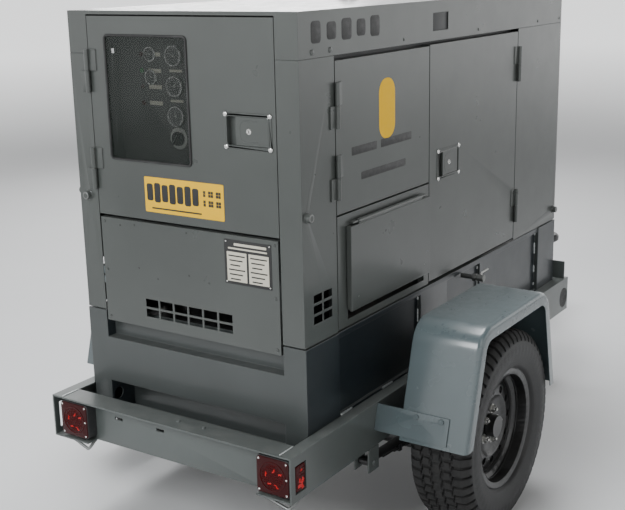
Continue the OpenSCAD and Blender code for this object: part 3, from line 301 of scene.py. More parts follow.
@dataclass(frozen=True)
class Plastic:
    """Moulded plastic or rubber with a fine leathery grain and a little bloom."""

    name: str
    colour: Colour
    roughness: float = 0.55
    grain: float = 900.0
    depth: float = 0.0002
    bloom: Colour = (0.12, 0.12, 0.115)
    bloomed: float = 0.25

    def build(self) -> bpy.types.Material:
        """Makes the material."""
        g = Graph(self.name)
        patch = g.ramp(g.noise(14.0, 6.0, 0.65), 0.45, 0.8, 0.0, self.bloomed)
        g.drive("Base Color", g.mix(patch, self.colour, self.bloom))
        g.drive("Roughness", g.ramp(g.noise(50.0, 4.0), 0.3, 0.7, self.roughness - 0.08,
                                    self.roughness + 0.1))
        g.drive("Normal", g.bump(g.noise(self.grain, 2.0), self.depth, 0.8))
        return g.material


@dataclass(frozen=True)
class TyreRubber:
    """Tyre rubber: fine circular moulding lines and grain, dust in patches, a browner tread."""

    name: str
    centre: tuple[float, float, float]
    sidewall_r: float

    def build(self) -> bpy.types.Material:
        """Makes the material."""
        g = Graph(self.name)
        x, z = g.math("SUBTRACT", g.part("X"), float(self.centre[0])), g.math("SUBTRACT", g.part("Z"),
            float(self.centre[2]))
        radius = g.math("SQRT", g.math("ADD", g.math("MULTIPLY", x, x), g.math("MULTIPLY", z, z)), 0.0)
        worn = g.ramp(radius, self.sidewall_r - 0.012, self.sidewall_r + 0.004)
        dirt = g.ramp(g.noise(26.0, 7.0, 0.72), 0.38, 0.72)
        side = g.mix(g.math("MULTIPLY", dirt, 0.35), (0.006, 0.006, 0.0065), (0.014, 0.014, 0.013))
        tread = g.mix(g.math("MULTIPLY", dirt, 0.7), (0.008, 0.008, 0.008), (0.02, 0.019, 0.018))
        g.drive("Base Color", g.mix(worn, side, tread))
        g.drive("Roughness", g.ramp(worn, 0.0, 1.0, 0.52, 0.82))
        rings = g.math("SINE", g.math("MULTIPLY", radius, 2600.0), 0.0)
        g.drive("Normal", g.bump(rings, 0.00025, 0.5, g.bump(g.noise(700.0, 3.0), 0.0004, 0.6)))
        return g.material


@dataclass(frozen=True)
class Clear:
    """Tinted glass or clear plastic, with faint smears."""

    name: str
    colour: Colour
    roughness: float = 0.04
    through: float = 1.0
    smeared: float = 0.18
    shine: float = 0.5
    alpha: float = 1.0

    def build(self) -> bpy.types.Material:
        """Makes the material."""
        g = Graph(self.name)
        smear = g.ramp(g.noise(7.0, 6.0, 0.7, g.stretched((1.0, 1.0, 0.3))), 0.5, 0.85)
        g.drive("Base Color", g.mix(g.math("MULTIPLY", smear, float(self.smeared)), self.colour,
                                    (0.42, 0.42, 0.4)))
        g.drive("Roughness", g.ramp(smear, 0.0, 1.0, self.roughness, self.roughness + 0.14))
        g.drive("Normal", g.bump(g.noise(2.5, 1.0), 0.001, 0.2))
        g.set(Transmission_Weight=self.through, IOR=1.46, Specular_IOR_Level=self.shine, Alpha=self.alpha)
        return g.material


class Finish(Enum):
    """Every finish on the machine, with the record's slot that it belongs to."""

    BODY = ("paint", Paint("body_grey_enamel", (0.054, 0.06, 0.056), 0.3, 0.4, 0.12, 0.05, 0.18))
    FRAME = ("frame_paint", Paint("frame_grey_enamel", (0.066, 0.076, 0.073), 0.34, 0.25, 0.2, 0.07, 0.4))
    # BASE's last colour is painted shade on the base's side faces.
    BASE = ("paint", Paint("base_grey_enamel", (0.042, 0.048, 0.047), 0.34, 0.3, 0.15, 0.06, 0.4,
                           (0.006, 0.010, 0.013)))
    FENDER = ("fender_paint", Paint("fender_grey_enamel", (0.07, 0.092, 0.098), 0.24, 0.6, 0.08, 0.05, 0.3))
    INNER = ("black_steel", Paint("inner_black_enamel", (0.02, 0.021, 0.022), 0.45, 0.05, 0.3))
    CHASSIS_BLACK = ("black_steel", Paint("chassis_black_enamel", (0.004, 0.004, 0.0045), 0.3, 0.25, 0.05,
                                          0.05, 0.05))
    ENGINE = ("engine", Paint("engine_green_enamel", (0.035, 0.06, 0.048), 0.42, 0.1, 0.4, 0.12))
    ROTOR = ("engine", Paint("machine_grey_enamel", (0.07, 0.09, 0.12), 0.42, 0.1, 0.3))
    COOLER = ("radiator", Paint("cooler_black_enamel", (0.018, 0.018, 0.02), 0.55, 0.0, 0.4))
    ZINC = ("steel", Metal("zinc_plate", (0.52, 0.52, 0.5), 0.36))
    BRIGHT = ("steel", Metal("bright_rivet_steel", (0.72, 0.72, 0.7), 0.2, stained=0.08))
    WELD = ("frame_paint", Metal("weld_bead", (0.5, 0.52, 0.52), 0.4, (0.3, 0.3, 0.29), 0.4))
    BRASS = ("steel", Metal("brass", (0.62, 0.45, 0.18), 0.3))
    PLASTIC = ("black_plastic", Plastic("black_moulding", (0.02, 0.02, 0.021)))
    RUBBER = ("rubber", Plastic("black_rubber", (0.014, 0.014, 0.014), 0.6, 500.0, 0.0003))
    FOAM = ("rubber", Plastic("sound_foam", (0.035, 0.035, 0.037), 0.95, 240.0, 0.004, bloomed=0.4))
    GLASS = ("glass", Clear("smoked_glass", (0.012, 0.017, 0.014), 0.03, 0.0, 0.02, 0.5, 0.42))
    FASCIA = ("black_plastic", Paint("fascia_grey_enamel", (0.07, 0.07, 0.068), 0.45, 0.05, 0.1, 0.05, 0.2))
    PLUG = ("steel", Metal("dull_plug_steel", (0.2, 0.205, 0.2), 0.42, stained=0.15))
    GAUGE_GLASS = ("glass", Clear("gauge_glass", (0.4, 0.4, 0.4), 0.04, 0.0, 0.0, 0.5, 0.1))
    RED_LENS = ("red_plastic", Clear("red_lens", (0.03, 0.001, 0.0015), 0.2, 0.0, 0.0, 0.25))
    RED_FACET = ("red_plastic", Clear("red_facet", (0.045, 0.001, 0.0015), 0.25, 0.0, 0.0, 0.2))
    # Painted glint: a bright red that stands in for highlights on the lamps' crystals.
    RED_SPARK = ("red_plastic", Clear("red_spark", (0.5, 0.008, 0.008), 0.25, 0.0, 0.0, 0.3))
    RED_KNOB = ("red_plastic", Plastic("red_moulding", (0.42, 0.012, 0.012), 0.35, bloomed=0.05))
    GREEN_LENS = ("red_plastic", Plastic("green_lens", (0.02, 0.22, 0.05), 0.25, bloomed=0.05))
    YELLOW = ("paint", Plastic("yellow_plate", (0.78, 0.45, 0.0), 0.75, 300.0, 0.0001, (0.6, 0.36, 0.0), 0.1))
    INK = ("black_plastic", Plastic("black_print", (0.012, 0.012, 0.012), 0.45, bloomed=0.05))
    CREAM = ("paint", Plastic("cream_plate", (0.56, 0.53, 0.44), 0.4, 300.0, 0.0001, (0.35, 0.33, 0.27), 0.3))
    DIAL = ("black_plastic", Plastic("dial_white", (0.5, 0.5, 0.47), 0.5, bloomed=0.1))
    HOSE = ("rubber", Plastic("hose_rubber", (0.018, 0.018, 0.018), 0.5, 260.0, 0.0006))

    @property
    def slot(self) -> str:
        """The record's material slot."""
        return self.value[0]

    @property
    def material(self) -> bpy.types.Material:
        """The material, made the first time that it is asked for."""
        recipe = self.value[1]
        return bpy.data.materials.get(recipe.name) or recipe.build()


# ---------------------------------------------------------------- shapes


@dataclass
class Shape:
    """Points and faces of one or more surfaces."""

    points: Array
    faces: list[list[int]]

    def __add__(self, other: "Shape") -> "Shape":
        """Both shapes as one."""
        shift = len(self.points)
        moved = [[i + shift for i in f] for f in other.faces]
        return Shape(np.vstack([self.points, other.points]), self.faces + moved)

    def placed(self, matrix: Matrix) -> "Shape":
        """The shape carried by a matrix."""
        m = np.array(matrix)
        return Shape(self.points @ m[:3, :3].T + m[:3, 3], self.faces)

    def at(self, x: float, y: float, z: float) -> "Shape":
        """The shape moved by a distance."""
        return Shape(self.points + np.array([x, y, z]), self.faces)

    def mirrored(self) -> "Shape":
        """The shape on the other side of the machine's middle plane."""
        return Shape(self.points * np.array([1.0, -1.0, 1.0]), [f[::-1] for f in self.faces])

    def on(self, side: Side) -> "Shape":
        """The shape on the side asked for, when it was drawn for the right side."""
        return self if side is Side.RIGHT else self.mirrored()


def joined(shapes: Iterable[Shape]) -> Shape:
    """All the shapes as one."""
    shapes = list(shapes)
    total = shapes[0]
    for shape in shapes[1:]:
        total = total + shape
    return total


def lattice(rows: int, columns: int, close_rows: bool, close_columns: bool) -> list[list[int]]:
    """The quads of a grid of points.

    Args:
        rows: number of rows.
        columns: points in a row.
        close_rows: whether the last row joins the first.
        close_columns: whether each row closes on itself.

    Returns:
        Four indices for each quad.
    """
    i = np.arange(rows if close_rows else rows - 1)[:, None]
    j = np.arange(columns if close_columns else columns - 1)[None, :]
    right, down = (j + 1) % columns, (i + 1) % rows
    quads = np.stack([i * columns + j, i * columns + right, down * columns + right, down * columns + j], -1)
    return quads.reshape(-1, 4).tolist()


def loft(rings: Array, close_columns: bool = True, close_rows: bool = False, caps: bool = True) -> Shape:
    """A skin over rings of points, capped at both ends when it is open there.

    Args:
        rings: array of shape (rings, points, 3).
        close_columns: whether each ring is closed.
        close_rows: whether the last ring joins the first.
        caps: whether the two end rings are filled.
    """
    rows, columns = rings.shape[:2]
    faces = lattice(rows, columns, close_rows, close_columns)
    if caps and not close_rows:
        faces.append(list(range(columns))[::-1])
        faces.append([(rows - 1) * columns + k for k in range(columns)])
    return Shape(rings.reshape(-1, 3), faces)


def turned(profile: Sequence[Sequence[float]], segments: int = CIRCLE, closed: bool = False) -> Shape:
    """A profile of (radius, height) turned about Z: (r cos t, r sin t, h).

    Args:
        profile: the points of the profile.
        segments: steps round the circle.
        closed: whether the profile's last point joins its first.
    """
    p = np.array(profile, float)
    t = np.linspace(0, 2 * np.pi, segments, endpoint=False)
    rings = np.stack([p[:, :1] * np.cos(t), p[:, :1] * np.sin(t), np.repeat(p[:, 1:], segments, 1)], -1)
    return loft(rings, close_rows=closed)


def rounded_outline(width: float, height: float, radius: float, inset: float = 0.0, steps: int = 7) -> Array:
    """A rectangle centred on 0 with round corners, moved inwards by an inset.

    Each corner is a quarter circle, cos and sin of an angle about the corner's own centre.
    """
    r = max(radius - inset, 1e-4)
    w, h = width / 2 - inset - r, height / 2 - inset - r
    corners = [(w, h, 0.0), (-w, h, 0.5), (-w, -h, 1.0), (w, -h, 1.5)]
    arcs = []
    for x, y, start in corners:
        t = np.pi * (start + np.linspace(0, 0.5, steps))
        arcs.append(np.stack([x + r * np.cos(t), y + r * np.sin(t)], -1))
    return np.vstack(arcs)


def outline_of(width: float, height: float, radius: float, steps: int = 7) -> Callable[[float], Array]:
    """The outline of a rectangle with round corners, as a function of its inset."""
    return lambda inset: rounded_outline(width, height, radius, inset, steps)


def layered(outline: Callable[[float], Array], layers: Sequence[tuple[float, float]]) -> Shape:
    """A solid of stacked outlines.

    Args:
        outline: gives the outline's (x, y) points for an inset.
        layers: (inset, z) from the back to the front.
    """
    rings = [np.column_stack([outline(i), np.full(len(outline(i)), z)]) for i, z in layers]
    return loft(np.array(rings))


def slab(width: float, height: float, depth: float, radius: float = 0.002, roll: float = 0.001) -> Shape:
    """A plate centred on 0 that stands from z = 0 to its depth, with round corners and rolled edges."""
    t = np.linspace(0, np.pi / 2, 4)
    top = [(roll * (1 - math.cos(a)), depth - roll * (1 - math.sin(a))) for a in t]
    return layered(outline_of(width, height, radius), [(0.0, 0.0), *top])


def dome(radius: float, height: float, segments: int = 20) -> Shape:
    """A rivet's head: a quarter ellipse turned about Z."""
    t = np.linspace(0, np.pi / 2 - 0.02, 7)
    return turned([(radius * math.cos(a), height * math.sin(a)) for a in t], segments)


def hexagon(across: float, height: float) -> Shape:
    """A chamfered hexagon head on a thin washer, standing on z = 0."""
    t = np.arange(6) * np.pi / 3
    rings = [np.stack([across / 2 * k * np.cos(t), across / 2 * k * np.sin(t), np.full(6, z)], -1)
             for k, z in ((1.1, 0.18), (1.15, 0.25), (1.15, 0.86), (0.98, 1.0))]
    head = loft(np.array(rings) * np.array([1, 1, height]))
    return turned([(across * 0.74, 0), (across * 0.74, height * 0.2), (across * 0.4, height * 0.2)],
                  24) + head


def frames_along(path: Array, closed: bool) -> tuple[Array, Array]:
    """Two side directions at each point of a path, carried along it without twist."""
    ahead = np.roll(path, -1, 0) - np.roll(path, 1, 0) if closed else np.gradient(path, axis=0)
    ahead /= np.linalg.norm(ahead, axis=1)[:, None]
    side = np.cross(ahead[0], [0.0, 0.0, 1.0])
    if np.linalg.norm(side) < 0.2:
        side = np.cross(ahead[0], [0.0, 1.0, 0.0])
    sides = []
    for direction in ahead:
        side = side - direction * side.dot(direction)
        side = side / np.linalg.norm(side)
        sides.append(side)
    sides = np.array(sides)
    return sides, np.cross(sides, ahead)


def swept(path: Array, section: Array, closed: bool = False, swell: Array | None = None) -> Shape:
    """A flat section carried along a path: point + u side + v up.

    Args:
        path: the points that it follows.
        section: (u, v) points of the section.
        closed: whether the path is a ring.
        swell: a factor on the section at each point of the path.
    """
    path = np.asarray(path, float)
    side, up = frames_along(path, closed)
    factor = np.ones(len(path)) if swell is None else swell
    u, v = section[:, 0], section[:, 1]
    rings = path[:, None] + (side[:, None] * u[None, :, None] + up[:, None] * v[None, :, None]) * factor[:,
        None, None]
    return loft(rings, close_rows=closed)


def circle_section(radius: float, sides: int = 14) -> Array:
    """A round section."""
    t = np.linspace(0, 2 * np.pi, sides, endpoint=False)
    return radius * np.stack([np.cos(t), np.sin(t)], -1)


def smooth_path(points: Sequence[Sequence[float]], count: int, closed: bool = False) -> Array:
    """A smooth curve through a few points, by cubic steps between neighbours (Catmull-Rom)."""
    p = np.array(points, float)
    before = np.vstack([p[-1:] if closed else 2 * p[:1] - p[1:2], p])
    after = p[:2] if closed else 2 * p[-1:] - p[-2:-1]
    q = np.vstack([before, after])
    spans = len(p) if closed else len(p) - 1
    s = np.linspace(0, spans, count, endpoint=not closed)
    k = np.minimum(s.astype(int), spans - 1)
    t = (s - k)[:, None]
    a, b, c, d = q[k], q[k + 1], q[k + 2], q[k + 3]
    return 0.5 * (2 * b + (c - a) * t + (2 * a - 5 * b + 4 * c - d) * t**2 + (3 * b - a - 3 * c + d) * t**3)


def tube(points: Sequence[Sequence[float]], radius: float, count: int = 40, closed: bool = False,
         ribs: float = 0.0) -> Shape:
    """A round tube through a few points; ribs makes it a corrugated hose."""
    path = smooth_path(points, count, closed)
    swell = 1 + ribs * np.sin(np.arange(count) * np.pi / 2) if ribs else None
    return swept(path, circle_section(radius), closed, swell)


def bead(start: Sequence[float], end: Sequence[float], radius: float = 0.004) -> Shape:
    """A weld bead: a round section whose size ripples along a straight seam."""
    a, b = np.array(start, float), np.array(end, float)
    count = max(8, int(np.linalg.norm(b - a) / 0.004))
    path = a + (b - a) * np.linspace(0, 1, count)[:, None]
    ripple = 1 + 0.16 * np.sin(np.arange(count) * 1.9) + 0.08 * np.sin(np.arange(count) * 0.37)
    ripple[[0, -1]] = 0.35
    return swept(path, circle_section(radius, 8), swell=ripple)


def local_frame(origin: Sequence[float], x: Sequence[float], y: Sequence[float]) -> Matrix:
    """A matrix with its own X and Y directions, and Z square to both."""
    ax, ay = Vector(x).normalized(), Vector(y).normalized()
    az = ax.cross(ay)
    m = Matrix((ax, ay, az)).transposed().to_4x4()
    m.translation = Vector(origin)
    return m


def along_x(shape: Shape) -> Shape:
    """A shape turned about Z, laid down with its axis along X."""
    return Shape(shape.points[:, [2, 0, 1]], shape.faces)


def spun(degrees: float) -> Matrix:
    """A turn about Z."""
    return Matrix.Rotation(math.radians(degrees), 4, "Z")


def shifted(face: Matrix, x: float, y: float, z: float) -> Matrix:
    """A frame moved by a distance along its own directions."""
    return face @ Matrix.Translation((x, y, z))


def facing_rear(x: float, y: float, z: float) -> Matrix:
    """A frame on the rear face: X to the viewer's right, Y up, Z out of the face."""
    return local_frame((x, y, z), (0, -1, 0), (0, 0, 1))


def facing_right(x: float, y: float, z: float) -> Matrix:
    """A frame on the right side: X forward, Y up, Z out of the face."""
    return local_frame((x, y, z), (1, 0, 0), (0, 0, 1))


def facing_left(x: float, y: float, z: float) -> Matrix:
    """A frame on the left side: X rearward, Y up, Z out of the face."""
    return local_frame((x, y, z), (-1, 0, 0), (0, 0, 1))


def facing_front(x: float, y: float, z: float) -> Matrix:
    """A frame on the front face: X to the left side, Y up, Z forward."""
    return local_frame((x, y, z), (0, 1, 0), (0, 0, 1))


def flat_on(x: float, y: float, z: float) -> Matrix:
    """A frame that lies flat, with Z up."""
    return Matrix.Translation((x, y, z))


def piece(name: str, shape: Shape, finish: Finish | bpy.types.Material, body: str, slot: str = "",
          replaces: Sequence[str] = ()) -> bpy.types.Object:
    """Makes a piece of the model from a shape.

    Args:
        name: the piece's name.
        shape: its surface, in the machine's own frame.
        finish: its finish, or a material.
        body: the moving body that it rides on.
        slot: the record's slot, where the finish doesn't give it; it is not stored.
        replaces: the frame's nodes that it stands for.

    Returns:
        The new object.
    """
    mesh = bpy.data.meshes.new(name)
    mesh.from_pydata(shape.points.tolist(), [], shape.faces)
    work = bmesh.new()
    work.from_mesh(mesh)
    bmesh.ops.remove_doubles(work, verts=work.verts, dist=2e-6)
    bmesh.ops.recalc_face_normals(work, faces=work.faces)
    work.to_mesh(mesh)
    work.free()
    mesh.validate()
    mesh.shade_smooth()
    mesh.set_sharp_from_angle(angle=SMOOTH_ANGLE)
    thing = bpy.data.objects.new(name, mesh)
    bpy.context.scene.collection.objects.link(thing)
    dress(thing, finish, slot)
    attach(thing, body)
    if replaces:
        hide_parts(*replaces)
    LOG.info("%-34s %7d faces on %s", name, len(mesh.polygons), body)
    return thing


def dress(thing: bpy.types.Object, finish: Finish | bpy.types.Material, slot: str = "") -> None:
    """Gives an object its finish; the record's slot is not stored."""
    material = finish.material if isinstance(finish, Finish) else finish
    thing.data.materials.clear()
    thing.data.materials.append(material)
    slot or finish.slot


def rolled(node: str, finish: Finish, roll: float = 1.0, segments: int = 2) -> bpy.types.Object:
    """Stands a copy of a frame node in its place, with its sharp edges rolled over.

    Args:
        node: the frame's node.
        finish: the finish that it gets.
        roll: the width of the rolled edge in millimetres.
        segments: facets across it.

    Returns:
        The copy.
    """
    source = frame["nodes"][node]
    mesh = source.data.copy()
    work = bmesh.new()
    work.from_mesh(mesh)
    bmesh.ops.remove_doubles(work, verts=work.verts, dist=2e-5)
    bmesh.ops.dissolve_limit(work, angle_limit=math.radians(0.6), verts=work.verts, edges=work.edges)
    work.to_mesh(mesh)
    work.free()
    mesh.shade_smooth()
    mesh.set_sharp_from_angle(angle=SMOOTH_ANGLE)
    thing = bpy.data.objects.new(node + "_body", mesh)
    bpy.context.scene.collection.objects.link(thing)
    edges = thing.modifiers.new("rolled_edges", "BEVEL")
    edges.limit_method = "ANGLE"
    edges.angle_limit = math.radians(42)
    edges.width = roll * MM
    edges.segments = segments
    edges.use_clamp_overlap = False
    edges.harden_normals = True
    dress(thing, finish)
    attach(thing, source["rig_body"])
    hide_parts(node)
    LOG.info("%-34s rolled edges of %.1f mm", node, roll)
    return thing


def low(node: str) -> Vector:
    """The lowest corner of a frame node's box."""
    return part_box(node)[0]


def high(node: str) -> Vector:
    """The highest corner of a frame node's box."""
    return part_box(node)[1]


def middle(node: str) -> Vector:
    """The middle of a frame node's box."""
    return (low(node) + high(node)) / 2


# Places that the frame gives: the enclosure's corners and the running gear's lines.
REAR_X, FRONT_X = low("rear_panel").x, high("front_posts").x
DECK_Z, ROOF_Z = low("rear_posts").z, high("roof").z
BAND_Z = low("roof").z
HALF_W = high("roof").y
RAIL_Y, RAIL_LOW, RAIL_TOP = high("rail_left").y, low("rail_left").z, high("rail_left").z
TAIL_X, RAIL_FRONT = low("rail_left").x, high("rail_left").x
BASE_Y = HALF_W - 0.002
AXLE_X, AXLE_Z = middle("tyre_left").x, middle("tyre_left").z
TYRE_R = high("tyre_left").z - AXLE_Z
TYRE_Y, TYRE_HALF = middle("tyre_left").y, (high("tyre_left").y - low("tyre_left").y) / 2
DOOR_LOW, DOOR_HIGH = low("rear_door"), high("rear_door")
WINDOW_LOW, WINDOW_HIGH = low("window_glass"), high("window_glass")


def span(a: Sequence[float], b: Sequence[float], roll: float = 0.0008) -> Shape:
    """A box between two corners, with slightly rolled edges on its outer side.

    Args:
        a: one corner.
        b: the opposite corner.
        roll: how far the edges are rolled.
    """
    lo, hi = np.minimum(a, b), np.maximum(a, b)
    size = hi - lo
    mid = (lo + hi) / 2
    roll = min(roll, *(size / 3))
    outline = outline_of(size[0], size[1], roll * 1.5, 3)
    layers = [(roll, 0.0), (0.0, roll), (0.0, size[2] - roll), (roll, size[2])]
    return layered(outline, layers).at(mid[0], mid[1], lo[2])


def rod(start: Sequence[float], end: Sequence[float], radius: float, sides: int = 24) -> Shape:
    """A straight round bar between two points, with chamfered ends."""
    a, b = Vector(start), Vector(end)
    length = (b - a).length
    edge = min(radius * 0.15, 0.0015)
    profile = [(radius - edge, 0), (radius, edge), (radius, length - edge), (radius - edge, length)]
    turn = (b - a).to_track_quat("Z", "Y").to_matrix().to_4x4()
    turn.translation = a
    return turned(profile, sides).placed(turn)


def disc_facing(shape: Shape, at: Sequence[float], direction: Sequence[float]) -> Shape:
    """Turns a shape that stands on z = 0 so that it stands on a point and looks along a direction."""
    turn = Vector(direction).to_track_quat("Z", "Y").to_matrix().to_4x4()
    turn.translation = Vector(at)
    return shape.placed(turn)


@dataclass
class TrailerFrame:
    """Rails, beams, drawbar and hitch: folded channels with welded corners."""

    body: str = "chassis"
    rod_r: float = 0.005

    def weld_beads(self) -> Shape:
        """Beads where the beams meet the rails, and where the base stands on them."""
        beads = []
        inner = RAIL_Y - 0.044
        for y in (-inner, inner):
            for x in (TAIL_X + 0.053, RAIL_FRONT - 0.058):
                beads.append(bead((x, y, RAIL_LOW + 0.01), (x, y, RAIL_TOP - 0.004), 0.003))
            beads.append(bead((TAIL_X + 0.006, y, RAIL_TOP + 0.0004), (TAIL_X + 0.08, y, RAIL_TOP + 0.0004),
                              0.0026))
            outer = math.copysign(HALF_W + 0.003, y)
            for x in np.arange(REAR_X + 0.19, FRONT_X - 0.2, 0.262):
                beads.append(bead((x, outer - math.copysign(0.004, y), RAIL_TOP + 0.001),
                                  (x + 0.07, outer - math.copysign(0.004, y), RAIL_TOP + 0.001), 0.004))
        return joined(beads)

    def tie_loop(self, side: Side) -> Shape:
        """The bent rod under the rear beam: a start, a rounded knee and an end further forward."""
        across = {Side.LEFT: (HALF_W - 0.01, HALF_W - 0.08, HALF_W - 0.092),
                  Side.RIGHT: (0.088 - HALF_W, -HALF_W - 0.018, -HALF_W - 0.038)}[side]
        x = TAIL_X + 0.018
        start, knee, end = (np.array(v) for v in ((x, across[0], RAIL_LOW + 0.002),
                                                  (x + 0.008, across[1], RAIL_LOW - 0.034),
                                                  (x + 0.044, across[2], RAIL_LOW + 0.002)))
        ease = (start + end) / 2 - knee
        path = [start, start + (knee - start) * 0.5, start + (knee - start) * 0.86, knee + ease * 0.06,
                knee + (end - knee) * 0.2, knee + (end - knee) * 0.6, end]
        return tube([tuple(float(c) for c in p) for p in path], self.rod_r, 60)

    def bolts(self) -> Shape:
        """The hitch channel's bolts and the jack's flange bolts."""
        heads = []
        plate = low("hitch_eye")
        for y in (-0.055, 0.055):
            for z in (plate.z + 0.02, high("hitch_eye").z - 0.02):
                heads.append(disc_facing(hexagon(0.024, 0.012), (plate.x - 0.012, y, z), (-1, 0, 0)))
        jack = middle("jack_leg")
        for angle in np.arange(4) * math.pi / 2 + math.pi / 4:
            heads.append(hexagon(0.017, 0.009).placed(flat_on(
                jack.x + 0.05 * math.cos(angle), 0.05 * math.sin(angle), high("drawbars").z)))
        return joined(heads)

    def build(self) -> None:
        """Makes the frame's pieces."""
        for node in ("rail_right", "rail_left", "rear_beam", "front_beam", "cross_members", "drawbars",
                     "spring_hangers"):
            rolled(node, Finish.FRAME, 1.6, 3)
        rolled("hitch_eye", Finish.CHASSIS_BLACK, 2.0, 3)
        piece("frame_weld_beads", self.weld_beads(), Finish.WELD, self.body)
        for side in Side:
            piece(f"tie_loop_{side.word}", self.tie_loop(side), Finish.PLUG, self.body,
                  replaces=("tie_loops",))
            # A dark rubber disc just inside the rail's front hole: painted shade for the dark inside of the
            # hole.
            hole_shade_disc = turned([(0.0432, 0.0), (0.0432, 0.0012), (0.041, 0.0022), (0.036, 0.0012),
                            (0.0001, 0.0012)], 48)
            spot = facing_right(RAIL_FRONT - 0.05, -RAIL_Y + 0.0035, RAIL_LOW + 0.063)
            piece(f"rail_hole_cover_{side.word}", hole_shade_disc.placed(spot).on(side), Finish.RUBBER, self.body)
        piece("frame_bolts", self.bolts(), Finish.ZINC, self.body)


@dataclass
class Fenders:
    """Two fenders of folded sheet, each one section swept along its outline."""

    corner: float = 0.09
    edge: float = 0.018
    skin: float = 0.003
    lip: float = 0.045
    inner_lip: float = 0.015
    body: str = "chassis"

    def outline(self, side: Side) -> tuple[Array, Array]:
        """The outline from the rear foot over the top to the front foot.

        Each corner is an arc tangent to both of its straights; at the feet the inward direction is
        level, so that both ends stay flat.

        Args:
            side: which fender.

        Returns:
            Points (x, z), and the inward direction at each of them, long enough to keep the section's
            distance from the straight.
        """
        lo, hi = low(f"fender_{side.word}"), high(f"fender_{side.word}")
        a, d = np.array([lo.x, lo.z]), np.array([hi.x, lo.z])
        b, c = np.array([lo.x + 0.107, hi.z]), np.array([hi.x - 0.087, hi.z])
        points, inward = [], []

        def normal(p: Array, q: Array) -> Array:
            """The direction square to a straight, towards the wheel."""
            run = (q - p) / np.linalg.norm(q - p)
            return np.array([run[1], -run[0]])

        def straight(p: Array, q: Array, n0: Array, n1: Array, count: int) -> None:
            """Adds a straight, whose inward direction goes from n0 to n1."""
            for t in np.linspace(0, 1, count):
                points.append(p + (q - p) * t)
                n = n0 + (n1 - n0) * t
                inward.append(n / n.dot(normal(p, q)))

        def arc(before: Array, at: Array, after: Array) -> tuple[Array, Array, Callable[[], None]]:
            """The arc that rounds a corner: where it starts, where it ends and what draws it."""
            n0, n1 = normal(before, at), normal(at, after)
            turn = math.acos(float(np.clip(n0.dot(n1), -1, 1)))
            reach = self.corner * math.tan(turn / 2)
            p = at + (before - at) / np.linalg.norm(before - at) * reach
            q = at + (after - at) / np.linalg.norm(after - at) * reach
            centre = p + n0 * self.corner

            def draw() -> None:
                """Adds the arc's inner points."""
                for t in np.linspace(0, 1, 14)[1:-1]:
                    n = (n0 * math.sin((1 - t) * turn) + n1 * math.sin(t * turn)) / math.sin(turn)
                    points.append(centre - n * self.corner)
                    inward.append(n)

            return p, q, draw

        p1, q1, first = arc(a, b, c)
        p2, q2, second = arc(b, c, d)
        level = np.array([1.0, 0.0])
        straight(a, p1, level, normal(a, b), 8)
        first()
        straight(q1, p2, normal(b, c), normal(b, c), 12)
        second()
        straight(q2, d, normal(c, d), -level, 8)
        return np.array(points), np.array(inward)

    def section(self, side: Side) -> Array:
        """The section across the fender, as (inward distance, y) round both faces of the sheet."""
        lo, hi = low(f"fender_{side.word}"), high(f"fender_{side.word}")
        out_y, in_y = (hi.y, lo.y) if side is Side.LEFT else (lo.y, hi.y)
        s = 1 if side is Side.LEFT else -1
        turn = np.linspace(0, np.pi / 2, 7)

        def face(inset: float) -> list[tuple[float, float]]:
            """One face of the sheet, from the outer lip to the inner one."""
            r, ri = self.edge - inset, 0.005 - inset
            outer = [(self.lip, out_y - s * inset)]
            outer += [(inset + r * (1 - math.sin(t)), out_y - s * (inset + r * (1 - math.cos(t))))
                      for t in turn]
            inner = [(inset + ri * (1 - math.cos(t)), in_y + s * (inset + ri * (1 - math.sin(t))))
                     for t in turn]
            return outer + inner + [(self.inner_lip, in_y + s * inset)]

        return np.array(face(0.0) + face(self.skin)[::-1])

    def skin_of(self, side: Side) -> Shape:
        """One fender's whole skin."""
        points, inward = self.outline(side)
        section = self.section(side)
        x = points[:, :1] + inward[:, :1] * section[None, :, 0]
        z = points[:, 1:] + inward[:, 1:] * section[None, :, 0]
        y = np.broadcast_to(section[None, :, 1], x.shape)
        return loft(np.stack([x, y, z], -1))

    def bolts(self) -> Shape:
        """The coach bolts that hold the brackets, front and rear."""
        lo, hi = low("fender_brackets"), high("fender_brackets")
        heads = []
        for x, way in ((lo.x, -1), (hi.x, 1)):
            for y in (TYRE_Y - 0.064, TYRE_Y + 0.025):
                for s in (-1, 1):
                    head = dome(0.0125, 0.007, 24) + hexagon(0.016, 0.003)
                    heads.append(disc_facing(head, (x - way * 0.0005, s * y, RAIL_TOP - 0.016), (way, 0, 0)))
        return joined(heads)

    def build(self) -> None:
        """Makes both fenders and their brackets."""
        for side in Side:
            node = f"fender_{side.word}"
            piece(f"{node}_skin", self.skin_of(side), Finish.FENDER, self.body, replaces=(node,))
        rolled("fender_brackets", Finish.FENDER, 0.8)
        lo, hi = low("fender_left"), high("fender_left")
        seams = []
        for side in Side:
            seam = bead((lo.x + 0.2, hi.y - 0.1, hi.z - 0.0012), (hi.x - 0.18, hi.y - 0.1, hi.z - 0.0012),
                        0.0016)
            seams.append(seam.on(side).mirrored())
        piece("fender_seams", joined(seams), Finish.FENDER, self.body)


